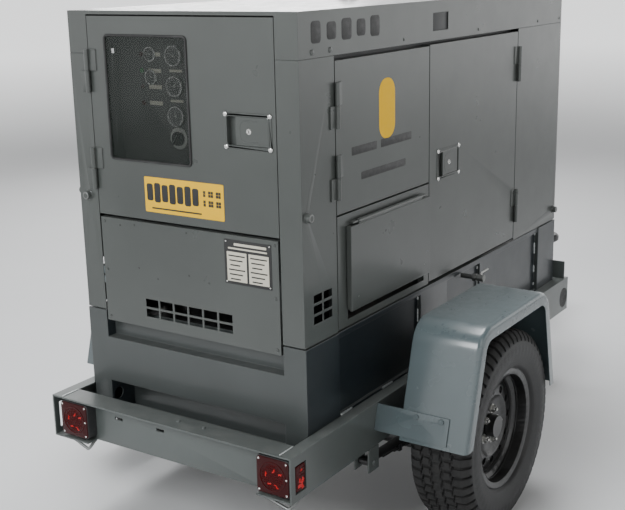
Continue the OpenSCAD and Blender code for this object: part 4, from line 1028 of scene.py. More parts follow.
@dataclass
class Wheel:
    """One wheel: a tyre with a cut tread, a deep steel rim and its nuts."""

    side: Side
    pitches: int = 58
    groove: float = 0.0085

    def __post_init__(self) -> None:
        """Names the body that the wheel turns with."""
        self.body = f"wheel_{self.side.word}"
        self.sign = self.side.value

    def profile(self) -> Array:
        """The tyre's section as (radius, distance from its middle plane), bead to bead, outside only."""
        w, r = TYRE_HALF, TYRE_R
        half = [(BEAD_R + 0.001, 0.0805), (BEAD_R + 0.008, 0.0825), (BEAD_R + 0.016, 0.0845),
                (BEAD_R + 0.021, 0.09),
                (BEAD_R + 0.024, 0.0965), (BEAD_R + 0.031, 0.1003), (BEAD_R + 0.042, 0.1035),
                (BEAD_R + 0.056, w - 0.0035),
                (BEAD_R + 0.07, w - 0.0008), (BEAD_R + 0.082, w), (BEAD_R + 0.093, w - 0.001),
                (r - 0.05, w - 0.0028),
                (r - 0.044, w - 0.0022), (r - 0.038, w - 0.0034), (r - 0.03, w - 0.0052),
                (r - 0.022, w - 0.0095),
                (r - 0.014, w - 0.016), (r - 0.008, w - 0.0215), (r - 0.0045, w - 0.028),
                (r - 0.0035, w - 0.031)]
        crown = [(r - 0.0032 * (y / 0.08) ** 2, y) for y in np.linspace(0.079, -0.079, 58)]
        return np.array(half + crown + [(a, -b) for a, b in half[::-1]])

    def tyre(self) -> Shape:
        """The tyre: radius less a groove depth that depends on the angle and the place across the tread.

        Four zigzag grooves run round it and slots cross each rib at a staggered phase; the shoulder's
        slots reach over the edge on to the sidewall. The sidewall has fine rings and short ribs.
        """
        p = self.profile()
        steps = np.array([0.0, 0.03, 0.2, 0.24, 0.5, 0.53, 0.7, 0.74])
        phase = (np.arange(self.pitches)[:, None] + steps[None, :]).reshape(-1)
        angle = phase * 2 * np.pi / self.pitches
        within = phase % 1.0
        radius, across = p[:, 0][None, :], p[:, 1][None, :]
        zig = np.where(within < 0.5, 0.0028, -0.0028)[:, None]
        tread = radius > TYRE_R - 0.0068
        ring = (np.abs(np.abs(across) - 0.018 - zig) < 0.0036) | (np.abs(np.abs(across) - 0.053
            + zig) < 0.0036)
        centre = (np.abs(across) < 0.018) & ((within > 0.22) & (within < 0.32))[:, None]
        mid = (np.abs(across) > 0.018) & (np.abs(across) < 0.053) & ((within > 0.72) | (within < 0.02))[:,
            None]
        shoulder = (np.abs(across) > 0.053) & (radius > TYRE_R
                                               - 0.036) & ((within > 0.22) & (within < 0.51))[:, None]
        cut = np.where(tread & (ring | centre | mid), self.groove, 0.0) + np.where(shoulder,
            self.groove * 0.9, 0.0)
        ribs = (radius > TYRE_R - 0.07) & (radius < TYRE_R - 0.052) & (within < 0.5)[:, None]
        sunk = np.where(shoulder & (radius < TYRE_R - 0.006), 0.006, 0.0) + np.where(ribs, 0.0008, 0.0)
        r = radius - cut
        y = across - np.sign(across) * sunk
        x = r * np.cos(angle)[:, None]
        z = r * np.sin(angle)[:, None]
        rings = np.stack([x, np.broadcast_to(y, x.shape), z], -1)
        return Shape(rings.reshape(-1, 3), lattice(len(angle), p.shape[0], True, False)).at(
            AXLE_X, self.sign * TYRE_Y, AXLE_Z)

    def lining(self) -> Shape:
        """The tyre's inside, so that it is a closed carcass."""
        w = TYRE_HALF - 0.014
        section = [(0.1915, -0.0805), (0.215, -0.078), (0.25, -w), (0.3, -w + 0.002), (0.318, -0.07),
                   (0.322, 0.0),
                   (0.318, 0.07), (0.3, w - 0.002), (0.25, w), (0.215, 0.078), (0.1915, 0.0805)]
        return turned(section, 72, True).placed(Matrix.Rotation(math.pi / 2, 4, "X")).at(
            AXLE_X, self.sign * TYRE_Y, AXLE_Z)

    def nuts(self) -> Shape:
        """Five nuts with their studs."""
        seat = TYRE_Y + 0.022 + 0.006
        parts = []
        for i in range(5):
            t = i * 2 * math.pi / 5
            at = (AXLE_X + STUD_CIRCLE_R * math.cos(t), self.sign * (seat - 0.001),
                  AXLE_Z - STUD_CIRCLE_R * math.sin(t))
            parts.append(disc_facing(hexagon(0.0215, 0.017), at, (0, self.sign, 0)))
            parts.append(disc_facing(turned([(0.006, 0), (0.006, 0.021), (0.0048, 0.0225)], 16), at,
                                     (0, self.sign, 0)))
        return joined(parts)

    def cap(self) -> Shape:
        """The hub's dust cap: a stepped cup with a domed end."""
        reach = abs(high(f"hub_{self.side.word}").y) if self.sign > 0 else abs(low(f"hub_{self.side.word}").y)
        start = TYRE_Y + 0.02
        length = reach - start
        profile = [(0.0385, 0.0), (0.0385, length * 0.4), (0.037, length * 0.44), (0.037, length * 0.6)]
        profile += [(0.037 * math.cos(a), length * (0.6 + 0.4 * math.sin(a)))
                    for a in np.linspace(0.1, 1.53, 8)]
        return disc_facing(turned(profile, 36), (AXLE_X, self.sign * start, AXLE_Z), (0, self.sign, 0))

    def rings(self) -> Shape:
        """Pressed steps of the deep dish: thin rolled rings inside the barrel, and the valve."""
        parts = []
        for radius, depth in ((0.1875, 0.074), (0.1835, 0.05), (0.1705, 0.034)):
            t = np.linspace(0, 2 * np.pi, 96, endpoint=False)
            path = np.stack([AXLE_X + radius * np.cos(t), np.full(96, self.sign * (TYRE_Y + depth)),
                             AXLE_Z + radius * np.sin(t)], -1)
            parts.append(swept(path, circle_section(0.0018, 8), closed=True))
        parts.append(rod((AXLE_X - 0.15, self.sign * (TYRE_Y + 0.036), AXLE_Z - 0.085),
                         (AXLE_X - 0.143, self.sign * (TYRE_Y + 0.07), AXLE_Z - 0.081), 0.0045, 14))
        return joined(parts)

    def build(self) -> None:
        """Makes the wheel's pieces."""
        word = self.side.word
        centre = (AXLE_X, self.sign * TYRE_Y, AXLE_Z)
        name = f"tyre_rubber_{word}"
        rubber = bpy.data.materials.get("tyre_rubber") or TyreRubber("tyre_rubber", centre,
                                                                     TYRE_R - 0.03).build()
        piece(name, self.tyre(), rubber, self.body, "tyre", (f"tyre_{word}",))
        piece(f"tyre_lining_{word}", self.lining(), Finish.RUBBER, self.body)
        rolled(f"rim_{word}", Finish.CHASSIS_BLACK, 0.9, 2)
        rolled(f"hub_{word}", Finish.CHASSIS_BLACK, 0.8, 2)
        piece(f"rim_rings_{word}", self.rings(), Finish.CHASSIS_BLACK, self.body)
        piece(f"wheel_nuts_{word}", self.nuts(), Finish.ZINC, self.body)
        piece(f"dust_cap_{word}", self.cap(), Finish.CHASSIS_BLACK, self.body)


@dataclass
class Suspension:
    """The cranked axle and two packs of four leaves, each made as a front and a rear half pack."""

    leaves: int = 4
    leaf_t: float = 0.006
    width: float = 0.045

    def half_pack(self, side: Side, way: int) -> Shape:
        """Four curved leaves from the axle's seat to one eye.

        A leaf's height over the seat is the rise times the squared share of its way to the eye, and
        each leaf is shorter than the one over it.

        Args:
            side: which spring.
            way: 1 for the front half and -1 for the rear half.
        """
        box_low, box_high = low("leaf_springs"), high("leaf_springs")
        reach = box_high.x - AXLE_X - 0.017
        eye_z = box_high.z - 0.017
        base = box_low.z + 0.0045
        y = RAIL_Y - 0.026
        shapes = []
        for k in range(self.leaves):
            share = 1.0 - 0.2 * k
            t = np.linspace(0.0, share, 26)
            level = base + (self.leaves - 1 - k) * (self.leaf_t + 0.0005)
            top = base + (self.leaves - 1) * (self.leaf_t + 0.0005)
            rise = (eye_z - top) * t**2
            path = np.stack([AXLE_X + way * reach * t, np.full(26, side.value * y), level + rise], -1)
            shapes.append(swept(path, rounded_outline(self.width, self.leaf_t, 0.0022, 0.0, 3)))
        eye = (AXLE_X + way * reach, eye_z)
        shapes.append(rod((eye[0], side.value * y - self.width / 2, eye[1]),
                          (eye[0], side.value * y + self.width / 2, eye[1]), 0.0165, 30))
        clip_x = AXLE_X + way * reach * 0.5
        lift = (eye_z - base - 3 * (self.leaf_t + 0.0005)) * 0.25
        shapes.append(span((clip_x - 0.009, side.value * y - self.width / 2 - 0.002, base - 0.004 + lift),
                           (clip_x + 0.009, side.value * y + self.width / 2 + 0.002, base + 0.0225 + lift),
                           0.001))
        return joined(shapes)

    def build(self) -> None:
        """Makes the axle, the springs and their pins' nuts."""
        rolled("axle_beam", Finish.CHASSIS_BLACK, 1.2, 2)
        for side in Side:
            for way, word in ((1, "front"), (-1, "rear")):
                shape = self.half_pack(side, way)
                name = f"leaf_pack_{side.word}_{word}"
                thing = piece(name, shape, Finish.CHASSIS_BLACK, "chassis", replaces=("leaf_springs",))
                thing.parent = None
                del thing["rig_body"]
                y = side.value * (RAIL_Y - 0.026)
                reach = high("leaf_springs").x - AXLE_X - 0.02
                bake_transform(thing)
        heads = []
        for side in Side:
            for x in (low("leaf_springs").x + 0.017, high("leaf_springs").x - 0.017):
                for y, way in ((high("spring_hangers").y, 1), (high("spring_hangers").y - 0.078, -1)):
                    heads.append(disc_facing(hexagon(0.0115, 0.007),
                                             (x, side.value * (y - 0.008 * way),
                                              high("leaf_springs").z - 0.017),
                                             (0, side.value * way, 0)))
        piece("spring_pin_nuts", joined(heads), Finish.ZINC, "chassis")


@dataclass
class Lamps:
    """Square tail lamps with a faceted round reflector, and the red marker in the right rail."""

    size: float = 0.12
    face: float = 0.006
    body: str = "chassis"

    def shard(self, length: float, width: float) -> Shape:
        """A low uneven crystal; its bright red finish is a painted glint on the reflector."""
        ring = np.array([[-length, -width * 0.4, 0], [length * 0.6, -width, 0], [length, width * 0.5, 0],
                         [-length * 0.5, width, 0], [length * 0.1, 0, 0.0022]])
        return Shape(ring, [[0, 1, 4], [1, 2, 4], [2, 3, 4], [3, 0, 4]])

    def facets(self, radius: float, pitch: float) -> Shape:
        """A round field of small pyramids; each stands on a square of the pitch."""
        parts = []
        ticks = np.arange(-radius, radius + 1e-9, pitch)
        for a in ticks:
            for b in ticks:
                if a * a + b * b < (radius - pitch * 0.6) ** 2:
                    h = pitch / 2
                    ring = np.array([[a - h, b - h, 0], [a + h, b - h, 0], [a + h, b + h, 0],
                                     [a - h, b + h, 0], [a, b, pitch * 0.3]])
                    parts.append(Shape(ring, [[0, 1, 4], [1, 2, 4], [2, 3, 4], [3, 0, 4]]))
        return joined(parts)

    def build(self) -> None:
        """Makes both lamps and the right rail's marker."""
        z = (RAIL_LOW + RAIL_TOP) / 2
        houses, plates, facets, screws, rims, painted_glints = [], [], [], [], [], []
        for y in (self.size / 2 + 0.008 - RAIL_Y, RAIL_Y - 0.033 - self.size / 2):
            back = facing_rear(TAIL_X + 0.045, y, z)
            houses.append(slab(self.size, self.size, 0.045 - self.face, 0.012, 0.002).placed(back))
            front = facing_rear(TAIL_X + self.face, y, z)
            outline = outline_of(self.size - 0.004, self.size - 0.004, 0.014)
            plates.append(layered(outline,
                                  [(0, -0.0005), (0, 0.002), (0.0012, 0.0033), (0.0035, 0.0038)]).placed(
                                      front))
            ring = turned([(0.0475, 0.0035), (0.047, 0.0052), (0.0455, 0.0058), (0.044, 0.0052),
                           (0.0435, 0.0038)], 72, True)
            rims.append(ring.placed(front))
            facets.append(self.facets(0.043, 0.0078).at(0, 0, 0.0037).placed(front))
            # Bright red crystals: painted glints on the reflector.
            for a, b, turn in ((-0.012, -0.024, 20), (0.013, -0.028, -35), (0.004, 0.018, 60),
                               (-0.024, 0.004, 80), (0.026, 0.012, 15)):
                shard = self.shard(0.011, 0.0045).placed(spun(turn))
                painted_glints.append(shard.at(a, b, 0.0036).placed(front))
            for a, b in ((-1, 1), (1, 1), (-1, -1), (1, -1), (1, 0)):
                spot = shifted(front, a * 0.0495, b * 0.0495, 0.0032)
                screws.append(dome(0.0038, 0.0022, 14).placed(spot))
        houses.append(span((TAIL_X + 0.025, -RAIL_Y + 0.006, RAIL_LOW + 0.025),
                           (TAIL_X + 0.077, -RAIL_Y + 0.009, RAIL_LOW + 0.111)))
        piece("lamp_boxes", joined(houses), Finish.PLASTIC, self.body, replaces=("lamp_housings",))
        piece("lamp_plates", joined(plates), Finish.RED_LENS, self.body, replaces=("lamp_lenses",))
        piece("lamp_rims", joined(rims), Finish.RED_FACET, self.body)
        piece("lamp_facets", joined(facets), Finish.RED_FACET, self.body)
        piece("lamp_sparks", joined(painted_glints), Finish.RED_SPARK, self.body)
        piece("lamp_screws", joined(screws), Finish.BRIGHT, self.body)
        marker = facing_right(TAIL_X + 0.051, -RAIL_Y + 0.0055, RAIL_LOW + 0.068)
        outline = outline_of(0.048, 0.082, 0.006)
        plate = layered(outline, [(0, 0), (0, 0.0025), (0.0015, 0.0045), (0.004, 0.005)])
        grid = joined([span((-0.019, -0.033 + i * 0.011, 0.0046), (0.019, -0.025 + i * 0.011, 0.0058),
                            0.001) for i in range(7)])
        piece("side_marker", (plate + grid).placed(marker), Finish.RED_FACET, self.body,
              replaces=("lamp_lenses",))
        # Painted glints on the side marker.
        glints = [self.shard(size, size * 0.7).placed(spun(turn)).at(a, b, 0.0055)
                  for a, b, size, turn in ((0.008, -0.012, 0.013, 70), (-0.008, -0.024, 0.012, 20),
                                           (0.006, -0.029, 0.011, 140),
                                           (-0.006, -0.008, 0.009, 100), (0.003, 0.024, 0.006, 30))]
        piece("side_marker_sparks", joined(glints).placed(marker), Finish.RED_SPARK, self.body)


@dataclass
class Jack:
    """The drawbar's jack: tube, sliding leg with its foot, and a crank with a turned grip."""

    def build(self) -> None:
        """Makes the jack's pieces."""
        rolled("jack_tube", Finish.ZINC, 1.2, 2)
        rolled("jack_leg", Finish.ZINC, 1.0, 2)
        lo, hi = low("jack_crank"), high("jack_crank")
        x, head = lo.x + 0.009, hi.z - 0.146
        rise = head + 0.056
        path = [(x, 0, lo.z), (x, 0, lo.z + 0.06), (x, 0, rise - 0.03), (x + 0.002, 0, rise - 0.008),
                (x + 0.012, 0, rise - 0.001),
                (x + 0.06, 0, rise), (hi.x - 0.04, 0, rise), (hi.x - 0.0195, 0, rise + 0.004),
                (hi.x - 0.0135, 0, rise + 0.014),
                (hi.x - 0.013, 0, rise + 0.04), (hi.x - 0.013, 0, hi.z - 0.006)]
        piece("crank_rod", tube(path, 0.0072, 110), Finish.ZINC, "jack_crank", replaces=("jack_crank",))
        grip = [(0.008, 0.0)]
        for i in range(9):
            z = 0.004 + i * 0.0085
            grip += [(0.0118, z), (0.0128, z + 0.002), (0.0128, z + 0.0055), (0.0116, z + 0.0068)]
        grip += [(0.012, 0.0805), (0.0075, 0.0845)]
        piece("crank_grip", turned(grip, 28).at(hi.x - 0.013, 0, rise + 0.005), Finish.PLASTIC, "jack_crank")
        collar = turned([(0.0295, -0.004), (0.0352, -0.004), (0.0362, -0.002), (0.0362, 0.002),
                         (0.0352, 0.004), (0.0295, 0.004)], 48, True)
        piece("jack_collar", collar.at(x, 0, head - 0.05), Finish.ZINC, "chassis")


@dataclass
class Base:
    """The bunded base with its welded seams, corner posts, tank and drain."""

    body: str = "chassis"

    def seams(self) -> Shape:
        """Short stitches of weld up the edge of each proud strip of the base's sides."""
        beads = []
        tall = DECK_Z - 0.03 - RAIL_TOP
        for side in Side:
            for k, x in enumerate((0.183, 0.723, 0.927, 1.202, 1.352, 1.771)):
                for start, length in ((0.04, 0.05), (0.27, 0.13), (0.60, 0.2), (0.93, 0.05)):
                    z = RAIL_TOP + tall * (start + 0.02 * (k % 3))
                    beads.append(bead((REAR_X + x, 0.0115 - BASE_Y, z),
                                      (REAR_X + x, 0.0115 - BASE_Y, z + tall * length), 0.0036).on(side))
        return joined(beads)

    def build(self) -> None:
        """Makes the base's pieces."""
        rolled("base_box", Finish.BASE, 2.0, 3)
        rolled("fuel_tank", Finish.PLASTIC, 8.0, 4)
        rolled("drain_valve", Finish.PLUG, 0.8, 2)
        piece("base_weld_seams", self.seams(), Finish.WELD, self.body)
        lever = middle("drain_valve")
        arm = tube([(lever.x, low("drain_valve").y + 0.012, lever.z + 0.012),
                    (lever.x + 0.01, low("drain_valve").y + 0.012, lever.z + 0.02),
                    (lever.x + 0.055, low("drain_valve").y + 0.011, lever.z + 0.022)], 0.0035, 20)
        piece("drain_lever", arm, Finish.ZINC, self.body)


def shallow_dome(radius: float, height: float) -> Shape:
    """A pan-headed screw with a driver's recess in its top."""
    return turned([(radius, 0), (radius, height * 0.35), (radius * 0.85, height * 0.8),
                   (radius * 0.5, height), (radius * 0.28, height),
                   (radius * 0.22, height * 0.45), (0.0001, height * 0.4)], 20)


@dataclass
class Enclosure:
    """The sheet-metal house: posts, roof, panels, its plugs, rivets and plain plates."""

    body: str = "chassis"

    def plug_spots(self) -> list[Matrix]:
        """Where the plugs stand: one on the left post's rear face, two on each side."""
        spots = [facing_rear(REAR_X, HALF_W - 0.04, DECK_Z + 0.385)]
        for x, z in ((0.024, 0.393), (1.928, 0.047)):
            spots.append(facing_right(REAR_X + x, -HALF_W, DECK_Z + z))
            spots.append(facing_left(REAR_X + x, HALF_W, DECK_Z + z))
        return spots

    def plugs(self) -> Shape:
        """The flanges that the round plugs stand on."""
        seat = turned([(0.0165, 0), (0.0165, 0.002), (0.015, 0.0032)], 30)
        return joined([seat.placed(spot) for spot in self.plug_spots()])

    def plug_faces(self) -> Shape:
        """The plugs' ends: a raised rim round a hexagonal key hole."""
        rim = turned([(0.0126, 0), (0.0126, 0.0006), (0.0118, 0.0012), (0.0078, 0.0012), (0.0072, 0.0002)],
                     30, True)
        hexagonal = turned([(0.0066, 0.0001), (0.0066, 0.0005), (0.0001, 0.0005)], 6)
        face = (rim + hexagonal).at(0, 0, 0.0169)
        return joined([face.placed(spot) for spot in self.plug_spots()])

    def screws(self) -> Shape:
        """Screws on the roof band, the lower rear panel and the front grille."""
        parts = []
        head = shallow_dome(0.0055, 0.0026)
        for side in Side:
            for x in (0.6, 1.15, 1.7, 1.93):
                parts.append(head.placed(facing_right(REAR_X + x, -HALF_W, BAND_Z + 0.018)).on(side))
            for x in (0.068, 0.163):
                parts.append(dome(0.0095, 0.0045, 24).placed(
                    facing_right(REAR_X + x, -HALF_W, BAND_Z + 0.018)).on(side))
        panel_low, panel_high = low("rear_panel"), high("rear_panel")
        for y in (panel_low.y + 0.014, panel_high.y - 0.014):
            for z in (panel_low.z + 0.016, (panel_low.z + panel_high.z) / 2, panel_high.z - 0.014):
                parts.append(head.placed(facing_rear(REAR_X, y, z)))
        grille_low, grille_high = low("front_grille"), high("front_grille")
        for y in (grille_low.y + 0.014, grille_high.y - 0.014):
            for z in np.linspace(grille_low.z + 0.03, grille_high.z - 0.03, 5):
                parts.append(head.placed(facing_front(FRONT_X, y, z)))
        return joined(parts)

    def holes(self) -> Shape:
        """Small open rivet holes in the lower rear panel, as dark sunk rings: their black is painted shade
        for the inside of each hole.
        """
        parts = []
        ring = turned([(0.0034, 0.0002), (0.0028, 0.0006), (0.0022, 0.0002), (0.0001, 0.0001)], 16)
        for y, z in ((0.712, 0.297), (0.65, 0.304), (0.435, 0.303), (0.641, 0.163), (0.562, 0.137),
                     (0.432, 0.166)):
            parts.append(ring.placed(facing_rear(REAR_X - 0.0001, y - HALF_W, DECK_Z + z)))
        return joined(parts)

    def rating_plate(self) -> None:
        """The rating plate: a dark border, two pale columns of blank fields, four rivets."""
        x, y, z = REAR_X, 0.1995 - HALF_W, DECK_Z + 0.2345
        frame_shape = slab(0.175, 0.139, 0.0012, 0.003, 0.0004).placed(facing_rear(x, y, z))
        fields, bars = [], []
        face = facing_rear(x - 0.0012, y, z)
        for column in (-0.041, 0.041):
            fields.append(slab(0.074, 0.092, 0.0004, 0.001, 0.0001).placed(shifted(face, column, -0.014, 0)))
            for k in range(6):
                bars.append(slab(0.062 - 0.012 * (k % 3), 0.0042, 0.0003, 0.001, 0.0001).placed(
                    shifted(face, column - 0.003 * (k % 3), 0.02 - k * 0.0145, 0.0004)))
        fields.append(slab(0.12, 0.008, 0.0004, 0.002, 0.0001).placed(shifted(face, 0.01, 0.056, 0)))
        fields.append(slab(0.145, 0.005, 0.0004, 0.002, 0.0001).placed(shifted(face, 0.0, 0.043, 0)))
        rivets = [dome(0.0028, 0.0016, 14).placed(shifted(face, a * 0.081, b * 0.063, 0))
                  for a in (-1, 1) for b in (-1, 1)]
        piece("rating_plate", frame_shape, Finish.INK, self.body)
        piece("rating_plate_fields", joined(fields), Finish.CREAM, self.body)
        piece("rating_plate_bars", joined(bars), Finish.INK, self.body)
        piece("rating_plate_rivets", joined(rivets), Finish.BRIGHT, self.body)

    def band_label(self) -> None:
        """Plain dark blocks on the right band, where the machine carries a marking."""
        blocks = []
        for i, (width, height) in enumerate(((0.05, 0.062), (0.05, 0.05), (0.055, 0.062), (0.05, 0.05),
                                             (0.055, 0.062))):
            spot = facing_right(REAR_X + 0.09 + i * 0.082, -HALF_W, BAND_Z + 0.072)
            blocks.append(slab(width, height, 0.0005, 0.012, 0.0002).placed(spot))
        piece("band_marking", joined(blocks), Finish.INK, self.body)

    def roof_details(self) -> None:
        """The recess plate in each side band, the outlet's dark floor and the exhaust cap's hinge."""
        plates = []
        for side in Side:
            plates.append(span((REAR_X + 0.797, -HALF_W + 0.0035, ROOF_Z - 0.101),
                               (REAR_X + 0.912, -HALF_W + 0.0055, ROOF_Z - 0.039)).on(side))
        plates.append(span((REAR_X + 1.48, -0.25, ROOF_Z - 0.0205), (REAR_X + 1.8, 0.25, ROOF_Z - 0.018)))
        piece("roof_dark_plates", joined(plates), Finish.INNER, self.body)
        hinge = rod((REAR_X + 1.197, -0.235, ROOF_Z + 0.012), (REAR_X + 1.197, -0.19, ROOF_Z + 0.012),
                    0.004, 14)
        piece("exhaust_cap_hinge", hinge, Finish.ZINC, self.body)

    def build(self) -> None:
        """Makes the enclosure's pieces."""
        for node, roll in (("rear_posts", 1.4), ("front_posts", 1.4), ("roof", 1.4), ("rear_panel", 1.0),
                           ("front_grille", 1.0)):
            rolled(node, Finish.BODY, roll, 2)
        rolled("hinge_pins", Finish.BODY, 0.7, 2)
        rolled("door_frame", Finish.INNER, 1.0, 2)
        rolled("roof_vent", Finish.CHASSIS_BLACK, 0.8, 2)
        rolled("lifting_eye", Finish.CHASSIS_BLACK, 1.5, 2)
        piece("post_plugs", self.plugs(), Finish.BODY, self.body)
        piece("post_plug_faces", self.plug_faces(), Finish.PLUG, self.body)
        piece("enclosure_screws", self.screws(), Finish.BODY, self.body)
        # Black rings: painted shade for the open holes.
        piece("panel_holes", self.holes(), Finish.INK, self.body)
        self.rating_plate()
        self.band_label()
        self.roof_details()


@dataclass
class Door:
    """A hinged door: its pan with rolled edges, a foam lining and a rubber seal behind it."""

    node: str
    normal: tuple[float, float]
    body: str = field(init=False)

    def __post_init__(self) -> None:
        """A door's body has the same name as its frame node."""
        self.body = self.node

    def lining(self) -> Shape:
        """A quilted foam pad: a grid whose thickness swells between stitched lines.

        The pad is thickest midway between the lines: sin^2 of the place along each side.
        """
        lo, hi = low(self.node), high(self.node)
        margin = 0.05
        nx, ny = self.normal
        z0, z1 = lo.z + margin, hi.z - margin
        if self.node == "rear_door":
            z1 = WINDOW_LOW.z - 0.03
        a0, a1 = (lo.y + margin, hi.y - margin) if nx else (lo.x + margin, hi.x - margin)
        if "front" in self.node:
            a0 += 0.19
        u, v = np.meshgrid(np.linspace(0, 1, 61), np.linspace(0, 1, 61))
        cells_u, cells_v = max(2, round((a1 - a0) / 0.11)), max(2, round((z1 - z0) / 0.11))
        swell = np.abs(np.sin(u * np.pi * cells_u) * np.sin(v * np.pi * cells_v)) ** 0.5
        edge = np.minimum(np.minimum(u, 1 - u), np.minimum(v, 1 - v))
        depth = (0.007 + 0.008 * swell) * np.clip(edge / 0.02, 0, 1) ** 0.5
        along, up = a0 + (a1 - a0) * u, z0 + (z1 - z0) * v
        face = REAR_X + 0.0036 if nx else math.copysign(HALF_W - 0.0036, ny)
        out = -1 if nx else int(math.copysign(1, ny))
        if nx:
            points = np.stack([face + depth, along, up], -1)
        else:
            points = np.stack([along, face - out * depth, up], -1)
        return Shape(points.reshape(-1, 3), lattice(61, 61, False, False))

    def seal(self) -> Shape:
        """A hollow rubber bulb round the door's inner edge."""
        lo, hi = low(self.node), high(self.node)
        nx, ny = self.normal
        if nx:
            outline = rounded_outline(hi.y - lo.y - 0.022, hi.z - lo.z - 0.022, 0.02)
            mid = ((hi.y + lo.y) / 2, (hi.z + lo.z) / 2)
            path = np.column_stack([np.full(len(outline), REAR_X + 0.0235), mid[0] + outline[:, 0],
                                    mid[1] + outline[:, 1]])
        else:
            wall = math.copysign(HALF_W - 0.0235, ny)
            outline = rounded_outline(hi.x - lo.x - 0.022, hi.z - lo.z - 0.022, 0.02)
            path = np.column_stack([(hi.x + lo.x) / 2 + outline[:, 0], np.full(len(outline), wall),
                                    (hi.z + lo.z) / 2 + outline[:, 1]])
        return swept(path, circle_section(0.0045, 10), closed=True)

    def build(self) -> None:
        """Makes the door's own pieces."""
        rolled(self.node, Finish.BODY, 1.4, 3)
        piece(f"{self.node}_lining", self.lining(), Finish.FOAM, self.body)
        piece(f"{self.node}_seal", self.seal(), Finish.RUBBER, self.body)


@dataclass
class Latch:
    """A paddle latch in a pressed tray: rivets, a lock cylinder and the paddle's pressed grip line."""

    prefix: str
    door: str
    rear: bool = False

    def frame_at(self, lift: float) -> Matrix:
        """The latch's own frame: X towards the paddle's hinge, Y up, Z out of the face."""
        plate = middle(f"{self.prefix}_latch")
        if self.rear:
            return facing_rear(REAR_X - lift, plate.y, plate.z)
        if self.prefix == "right":
            return facing_right(plate.x, -HALF_W - lift, plate.z)
        return facing_left(plate.x, HALF_W + lift, plate.z)

    def build(self) -> None:
        """Makes the latch's pieces; the pin is at the right end of a viewer on the right and rear sides."""
        rolled(f"{self.prefix}_latch", Finish.BODY, 0.9, 3)
        rolled(f"{self.prefix}_paddle", Finish.BODY, 1.0, 3)
        lo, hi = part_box(f"{self.prefix}_latch")
        paddle = middle(f"{self.prefix}_paddle")
        base = self.frame_at(0.0)
        local = base.inverted() @ Vector((paddle.x, paddle.y, paddle.z))
        hinge_way = 1.0 if local.x > 0 else -1.0
        wide = (hi.y - lo.y if self.rear else hi.x - lo.x) / 2
        tall = (hi.z - lo.z) / 2
        rivets = []
        for a in (-1, 1):
            for b in (-1, 1):
                rivets.append(dome(0.0078, 0.0042, 24).placed(
                    shifted(base, a * (wide - 0.006), b * (tall - 0.006), 0.0018)))
        piece(f"{self.prefix}_latch_rivets", joined(rivets), Finish.BRIGHT, self.door)
        outline = rounded_outline(2 * wide - 0.02, 2 * tall - 0.02, 0.008)
        lip = np.column_stack([outline, np.full(len(outline), 0.0022)])
        rim = swept(lip, circle_section(0.0016, 8), closed=True).placed(base)
        piece(f"{self.prefix}_latch_rim", rim, Finish.BODY, self.door)
        face = shifted(base, local.x - hinge_way * 0.012, 0.0, 0.0009)
        line = smooth_path([(0.03, 0.03, 0), (-0.012, 0.031, 0), (-0.03, 0.022, 0), (-0.033, 0.0, 0),
                            (-0.03, -0.022, 0),
                            (-0.012, -0.031, 0), (0.03, -0.03, 0)], 60)
        line = line * np.array([hinge_way, 1.0, 1.0])
        emboss = swept(line, np.array([[-0.0022, -0.0004], [0.0022, -0.0004], [0.0014, 0.0007],
                                       [-0.0014, 0.0007]]))
        piece(f"{self.prefix}_paddle_emboss", emboss.placed(face), Finish.BODY, f"{self.prefix}_paddle")
        lock = turned([(0.0088, -0.0006), (0.0088, 0.0012), (0.0078, 0.002), (0.0066, 0.002),
                       (0.0062, 0.0008), (0.0001, 0.0008)], 30)
        piece(f"{self.prefix}_lock", lock.placed(face), Finish.BRIGHT, f"{self.prefix}_paddle")
        slot_shape = slab(0.0022, 0.0085, 0.0004, 0.0008, 0.0001).placed(shifted(face, 0, 0, 0.0009))
        piece(f"{self.prefix}_key_slot", slot_shape, Finish.INK, f"{self.prefix}_paddle")


